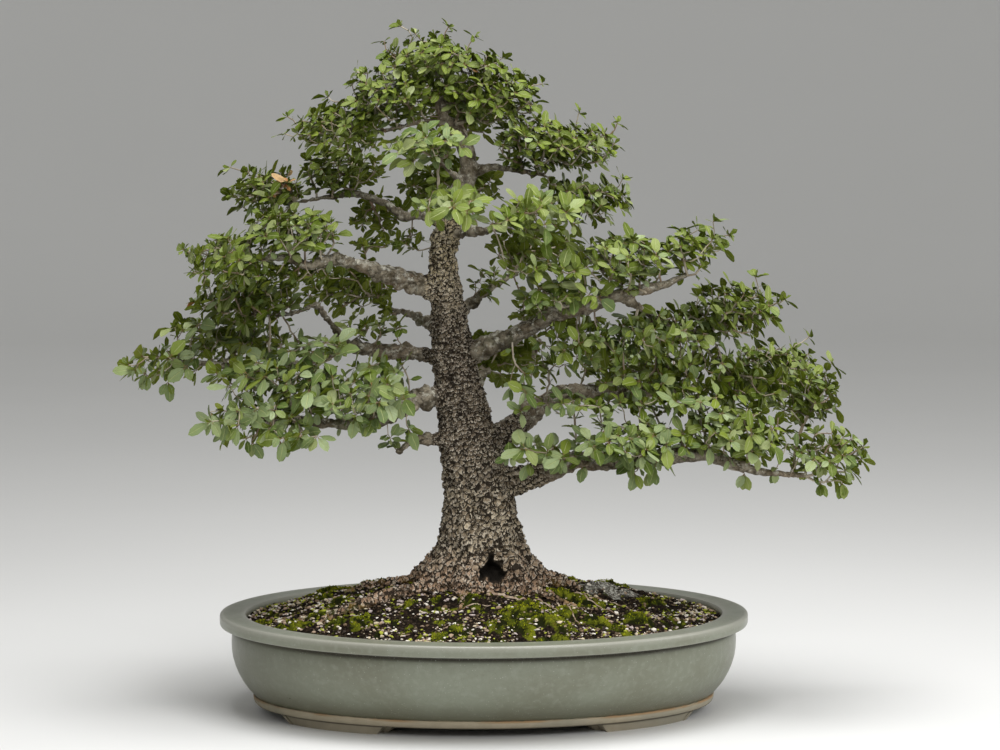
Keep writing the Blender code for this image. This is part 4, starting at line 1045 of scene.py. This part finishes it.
def leaf_model(rows, draw):
    """A leaf with a blade one unit long: outline, fold, arch and twist, and a thin body."""
    width = draw.uniform(0.25, 0.33)
    fold = draw.uniform(-0.1, 0.4)
    arch = draw.uniform(0.0, 0.45)
    twist = draw.uniform(-0.4, 0.4)
    sway = draw.uniform(-0.07, 0.07)
    deselect()
    bpy.ops.mesh.primitive_grid_add(x_subdivisions=2, y_subdivisions=len(rows) - 1, size=2)
    leaf = bpy.context.object
    row_of = {v.index: round((v.co.y + 1) / 2 * (len(rows) - 1)) for v in leaf.data.vertices}
    in_middle = [abs(v.co.x) < 0.1 for v in leaf.data.vertices]
    for corner, loop in zip(leaf.data.uv_layers.active.data, leaf.data.loops):
        across = (leaf.data.vertices[loop.vertex_index].co.x + 1) / 2
        corner.uv = (across, rows[row_of[loop.vertex_index]][0])
    for vert in leaf.data.vertices:
        along, share = rows[row_of[vert.index]]
        out = vert.co.x * share * width * draw.uniform(0.9, 1.1)
        wave = 0.03 * share * draw.uniform(-1, 1) * abs(vert.co.x)
        rise = abs(out) * fold - arch * max(0, along) ** 2 * 0.5 + out * twist * along + wave
        vert.co = (out + sway * math.sin(max(0, along) * math.pi), along, rise)
    bpy.ops.object.mode_set(mode="EDIT")
    bpy.ops.mesh.select_all(action="SELECT")
    bpy.ops.mesh.duplicate()
    bpy.ops.mesh.flip_normals()
    bpy.ops.object.mode_set(mode="OBJECT")
    for vert in list(leaf.data.vertices)[len(row_of):]:
        first = vert.index - len(row_of)
        if in_middle[first] and 0 < row_of[first] < len(rows) - 1:
            vert.co.z -= LEAF_BODY
    bpy.ops.object.mode_set(mode="EDIT")
    bpy.ops.mesh.select_all(action="SELECT")
    bpy.ops.mesh.remove_doubles(threshold=0.0001)
    bpy.ops.object.mode_set(mode="OBJECT")
    return mesh_arrays(leaf)


def twig_seeds(lobes, points, draw):
    """Places on the limbs in and by a spray's lobes from which its twigs start."""
    inside = []
    for middle, size in lobes:
        near = []
        for point in points:
            away = Vector([(point[k] - middle[k]) / (size[k] + 10 * MM) for k in range(3)]).length
            if away < 1:
                near.append(point)
        if len(near) < SEED_LEAST[0]:
            near = sorted(points, key=lambda p: (p - middle).length)[:SEED_LEAST[1]]
        inside += near
    draw.shuffle(inside)
    kept = []
    for point in inside:
        if all((point - other).length > SEED_SPACE for other in kept):
            kept.append(point)
    return kept


def random_way(draw, spread):
    """A random direction, of a length round the spread."""
    return Vector([draw.gauss(0, spread) for _ in range(3)])


def twig_ends(lobes, space, draw):
    """Places spread through a spray's lobes, for the ends of its twigs."""
    ends = []
    for middle, size in lobes:
        inner = [max(4 * MM, size[k] - END_MARGIN[k]) for k in range(3)]
        for _ in range(END_TRIES):
            way = random_way(draw, 1).normalized() * draw.random() ** 0.42
            place = middle + Vector([way[k] * inner[k] for k in range(3)])
            wide = space * (1.25 if way.z < -0.3 else 1)
            if all((place - other).length > wide for other in ends):
                ends.append(place)
    return ends


def grow(seeds, ends, draw):
    """Branching twigs from the seeds to the ends: places, parents and the index of each end."""
    places = list(seeds)
    parents = [None] * len(seeds)
    runs = [0.0] * len(seeds)
    tips = []
    ends = sorted(ends, key=lambda e: min((e - s).length for s in seeds))
    for end in ends:
        grid = np.array(places)
        cost = np.linalg.norm(grid - np.array(end), axis=1) + RUN_COST * np.array(runs)
        joint = int(np.argmin(cost))
        chord = end - places[joint]
        steps = max(1, round(chord.length / TWIG_STEP))
        bend = random_way(draw, 0.1) * chord.length
        bend.z -= 0.1 * chord.length
        start = places[joint].copy()
        last = joint
        for k in range(1, steps + 1):
            t = k / steps
            place = start + chord * t + bend * (4 * t * (1 - t))
            if k < steps:
                place += random_way(draw, 0.5 * MM)
            places.append(place)
            parents.append(last)
            runs.append(runs[last] + chord.length / steps)
            last = len(places) - 1
        tips.append(last)
    return places, parents, tips


def twig_girths(parents, tips):
    """Radius of a twig at each place, thicker towards the limb by what it carries."""
    load = [0.0] * len(parents)
    for tip in tips:
        load[tip] += TWIG_TIP ** PIPE
    for index in range(len(parents) - 1, -1, -1):
        if parents[index] is not None:
            load[parents[index]] += load[index]
    return [min(TWIG_ROOT, max(TWIG_TIP, amount ** (1 / PIPE))) for amount in load]


def leaf_matrix(root, way, up, length, roll):
    """Place of a leaf: its root, the way it points, its upper side and its length."""
    way = way.normalized()
    face = (up - way * up.dot(way)).normalized()
    face = Matrix.Rotation(roll, 3, way) @ face
    across = way.cross(face)
    turn = Matrix((across, way, face)).transposed().to_4x4()
    return Matrix.Translation(root + way * 0.2 * length) @ turn @ Matrix.Scale(length, 4)


def leaf_places(places, parents, tips, hung, length, draw):
    """Root, way, upper side, size, roll and youth of each leaf: whorls at the tips, some below."""
    found = []
    for tip in tips:
        if any((places[tip] - spot).length < 0.1 * MM for spot in hung):
            for _ in range(3):
                way = Vector((draw.gauss(0, 0.35), draw.gauss(-0.1, 0.3), -1))
                face = Vector((draw.gauss(0, 0.3), -1, 0.2))
                found.append((places[tip], way, face, length * draw.uniform(0.55, 0.85), 0, 0))
            continue
        before = places[parents[tip]] if parents[tip] is not None else places[tip]
        outward = places[tip] - trunk_at(places[tip].z)[0]
        outward.z = 0
        high = smooth(places[tip].z, 0.24, 0.5)
        axis = (places[tip] - before).normalized() * 0.5 + outward.normalized() * 0.5
        axis.z += 0.35 + 0.4 * high
        axis.normalize()
        side = axis.orthogonal().normalized()
        start = draw.uniform(0, 6.28)
        for k in range(draw.choice(WHORL_LEAVES)):
            tilt = math.radians(draw.uniform(45, 92))
            around = Matrix.Rotation(start + k * LEAF_TURN, 3, axis) @ side
            way = axis * math.cos(tilt) + around * math.sin(tilt)
            way.z -= draw.uniform(0, 0.9) * (1 - high) + draw.uniform(-0.1, 0.25) * high
            size = length * (0.4 + 0.65 * draw.random() ** 1.5)
            found.append((places[tip], way, axis, size, draw.gauss(0, 0.3), 0.0))
        for _ in range(draw.choice(BUD_LEAVES)):
            way = axis + random_way(draw, 0.35)
            found.append((places[tip], way, around, length * draw.uniform(0.28, 0.5),
                          draw.uniform(-1, 1), 0.4))
        index = parents[tip]
        while index is not None and parents[index] is not None and draw.random() < LEAFY_RUN:
            along = (places[index] - places[parents[index]]).normalized()
            way = along.orthogonal()
            way.rotate(Matrix.Rotation(draw.uniform(0, 6.28), 3, along))
            way = way * 0.9 + along * 0.5
            found.append((places[index], way, axis + 0.3 * way, length * draw.uniform(0.3, 0.62),
                          draw.gauss(0, 0.35), 0.0))
            index = parents[index]
    return found


draw = random.Random(23)
leaf_models = [leaf_model(rows, draw) for rows in (LEAF_ROWS, SMALL_ROWS) for _ in range(LEAF_KINDS)]

twig_skin, shader, place = new_material("twig_bark", 0.8, 0.3)
shade = coats(twig_skin, (0.23, 0.18, 0.12),
              (patchy(twig_skin, place, 60, 0.35, 0.65, detail=4), (0.52, 0.46, 0.36)),
              (patchy(twig_skin, place, 25, 0.5, 0.7, 0, 0.6), (0.2, 0.1, 0.06)))
connect(twig_skin, shader, shade, relief=clouds(twig_skin, place, 900, 4), distance=0.0004)

leaf_skin, shader, place = new_material("oak_leaf", 0.45, 0.3)
chart = add_node(leaf_skin, "TexCoord").outputs["UV"]
along = axis_of(leaf_skin, chart, "Y")
out = sums(leaf_skin, axis_of(leaf_skin, chart, "X"), 0.5, "SUBTRACT")
out = add_node(leaf_skin, "Math", {0: out}, operation="ABSOLUTE").outputs[0]
young = attribute(leaf_skin, "young")
# a random value for each leaf: high values paint it greyer and paler, partly its own waxy tone and
# partly a painted sheen
tone_and_sheen = attribute(leaf_skin, "tone_and_sheen")
under = between(leaf_skin, attribute(leaf_skin, "under"), 0.4, 0.6)
ribs = sums(leaf_skin, sums(leaf_skin, along, 44), sums(leaf_skin, out, 30), "SUBTRACT")
ribs = add_node(leaf_skin, "Math", {0: ribs}, operation="SINE").outputs[0]
midrib = between(leaf_skin, out, 0.06, 0.02, 0, 0.85)
# mature leaves, from deep green to a paler grey-green, the pale end partly a painted sheen
mature_tone_and_sheen = blend_colour(leaf_skin, tone_and_sheen, (0.09, 0.145, 0.036), (0.35, 0.43, 0.24))
upper = coats(leaf_skin, (0.07, 0.118, 0.005),
              (between(leaf_skin, tone_and_sheen, 0, 0.6), (0.245, 0.31, 0.035)),
              (between(leaf_skin, tone_and_sheen, 0.5, 1), (0.385, 0.43, 0.2)),
              (between(leaf_skin, young, 0.3, 0.02, 0, 0.85), mature_tone_and_sheen),
              (young, (0.085, 0.125, 0.002)),
              (patchy(leaf_skin, place, 260, 0.35, 0.7, 0, 0.3), (0.22, 0.265, 0.06)),
              (between(leaf_skin, ribs, 0.8, 1.0, 0, 0.22), (0.19, 0.25, 0.07)),
              (midrib, (0.41, 0.46, 0.19)))
lower = coats(leaf_skin, (0.125, 0.165, 0.004),
              (tone_and_sheen, (0.225, 0.26, 0.03)),
              (young, (0.085, 0.12, 0.002)),
              (midrib, (0.32, 0.34, 0.14)))
brown = blend_colour(leaf_skin, tone_and_sheen, (0.5, 0.2, 0.05), (0.6, 0.42, 0.2))
skin = coats(leaf_skin, upper,
             (under, lower),
             (between(leaf_skin, along, 0.06, -0.02, 0, 0.8), (0.24, 0.13, 0.05)),
             (between(leaf_skin, attribute(leaf_skin, "dead"), 0.4, 0.6), brown))
gloss = between(leaf_skin, under, 0, 1, 0.42, 0.75)
relief = sums(leaf_skin, ribs, sums(leaf_skin, midrib, -6), "ADD")
connect(leaf_skin, shader, skin, gloss, relief, 0.00006)

wood_points = [v.co.copy() for v in list(limbs.data.vertices)[::SEED_STEPS[0]]]
wood_points += [v.co.copy() for v in list(wood.data.vertices)[::SEED_STEPS[1]]
                if v.co.z > SEED_TRUNK]
dead_spots = [planted(x, -30, z) for x, z in DEAD_SPOTS]
for k, (name, (length, youth, *lobes)) in enumerate(SPRAYS.items()):
    draw = random.Random(500 + k)
    lobes = [(planted(*middle), Vector(size) * MM) for middle, size in lobes]
    seeds = twig_seeds(lobes, wood_points, draw)
    ends = twig_ends(lobes, WHORL_SHARE * length * MM, draw)
    hung = [planted(*spot) for spot in HANGING.get(name, ())]
    ends += hung + [planted(*spot) for spot in REACHING.get(name, ())]
    places, parents, tips = grow(seeds, ends, draw)
    twigs = tubes("twigs_" + name, places, parents, tips, twig_girths(parents, tips))
    give(twigs, "twigs_" + name, twig_skin, "bark", "spray_" + name)
    found = leaf_places(places, parents, tips, hung, length * MM, draw)
    matrices = [leaf_matrix(*leaf[:5]) for leaf in found]
    tones_and_sheens = [min(1, max(0, draw.gauss(0.48, 0.36))) for _ in found]
    youths = [min(1, max(0, draw.gauss(youth, 0.22) + leaf[5])) for leaf in found]
    deads = []
    for leaf in found:
        near = min(math.hypot(leaf[0].x - spot.x, leaf[0].z - spot.z) for spot in dead_spots)
        share = DEAD_SHARES[0 if near < DEAD_REACH else 1]
        deads.append(1.0 if draw.random() < share else 0.0)
    picks = [draw.randrange(LEAF_KINDS) + (LEAF_KINDS if leaf[3] < SMALL_UNDER else 0)
             for leaf in found]
    leaves = lay_out("leaves_" + name, leaf_models, picks, matrices,
                     {"tone_and_sheen": tones_and_sheens, "young": youths, "dead": deads})
    finish_mesh(leaves, 55)
    give(leaves, "leaves_" + name, leaf_skin, "leaf", "spray_" + name)


# Table, light and camera. A plain pale floor that bends up far off all round, one wide soft
# light above, dimmer ones in front and beside, and a long lens a little left of the pot.

FLOOR_REACH = 4.0
BEND = 2.0
BEND_STEPS = 12
pale, shader, place = new_material("pale_paper", 0.9, 0.2)
connect(pale, shader, blend_colour(pale, clouds(pale, place, 1.5), (0.74, 0.74, 0.73),
                                   (0.78, 0.78, 0.77)))
deselect()
bpy.ops.mesh.primitive_circle_add(vertices=96, radius=FLOOR_REACH, fill_type="NGON")
floor = bpy.context.object
bpy.ops.object.mode_set(mode="EDIT")
bpy.ops.mesh.select_mode(type="EDGE")
bpy.ops.mesh.select_all(action="SELECT")
reach, level = FLOOR_REACH, 0
for step in range(1, BEND_STEPS + 1):
    turn = math.radians(90 / BEND_STEPS * step)
    new_reach = FLOOR_REACH + BEND * math.sin(turn)
    new_level = BEND * (1 - math.cos(turn))
    bpy.ops.mesh.extrude_edges_move(TRANSFORM_OT_translate={"value": (0, 0, new_level - level)})
    bpy.ops.transform.resize(value=(new_reach / reach, new_reach / reach, 1))
    reach, level = new_reach, new_level
bpy.ops.object.mode_set(mode="OBJECT")
finish_mesh(floor, 30)
floor.name = "floor"
floor.data.materials.append(pale)

world = bpy.data.worlds.new("studio")
world.use_nodes = True
bpy.context.scene.world = world
world.node_tree.nodes["Background"].inputs["Color"].default_value = (1.0, 1.0, 0.98, 1)
world.node_tree.nodes["Background"].inputs["Strength"].default_value = 0.4

LIGHTS = (                       # name, place, size, power
    ("above", (0.05, -0.4, 1.75), 1.2, 30),
    ("front", (1.0, -2.0, 1.35), 0.9, 14),
    ("right", (1.9, -0.5, 0.9), 0.8, 8),
)
for name, spot, size, power in LIGHTS:
    light = bpy.data.lights.new(name, "AREA")
    light.size = size
    light.energy = power
    lamp = add_object(name, light)
    lamp.location = spot
    lamp.rotation_euler = (Vector((0, 0, 0.25)) - Vector(spot)).to_track_quat("-Z", "Y").to_euler()

VIEW_TURN = math.radians(-3.8)   # the photograph's camera stands this far round to the left
VIEW_AWAY = 3.0
VIEW_HEIGHT = 0.5943
VIEW_ASIDE = 0.0136
VIEW_DOWN = 0.096
VIEW_ROLL = math.radians(0.15)
VIEW_LENS = 120.1
camera_data = bpy.data.cameras.new("camera")
camera_data.lens = VIEW_LENS
camera_data.sensor_width = 36
camera_data.clip_end = 50
camera = add_object("camera", camera_data)
stand = Matrix.Translation((POT_X, POT_Y, 0)) @ Matrix.Rotation(VIEW_TURN, 4, "Z")
aim = Matrix.Rotation(math.pi / 2 - VIEW_DOWN, 4, "X") @ Matrix.Rotation(VIEW_ROLL, 4, "Z")
camera.matrix_world = stand @ Matrix.Translation((VIEW_ASIDE, -VIEW_AWAY, VIEW_HEIGHT)) @ aim
bpy.context.scene.camera = camera
bpy.context.scene.view_settings.view_transform = "Standard"
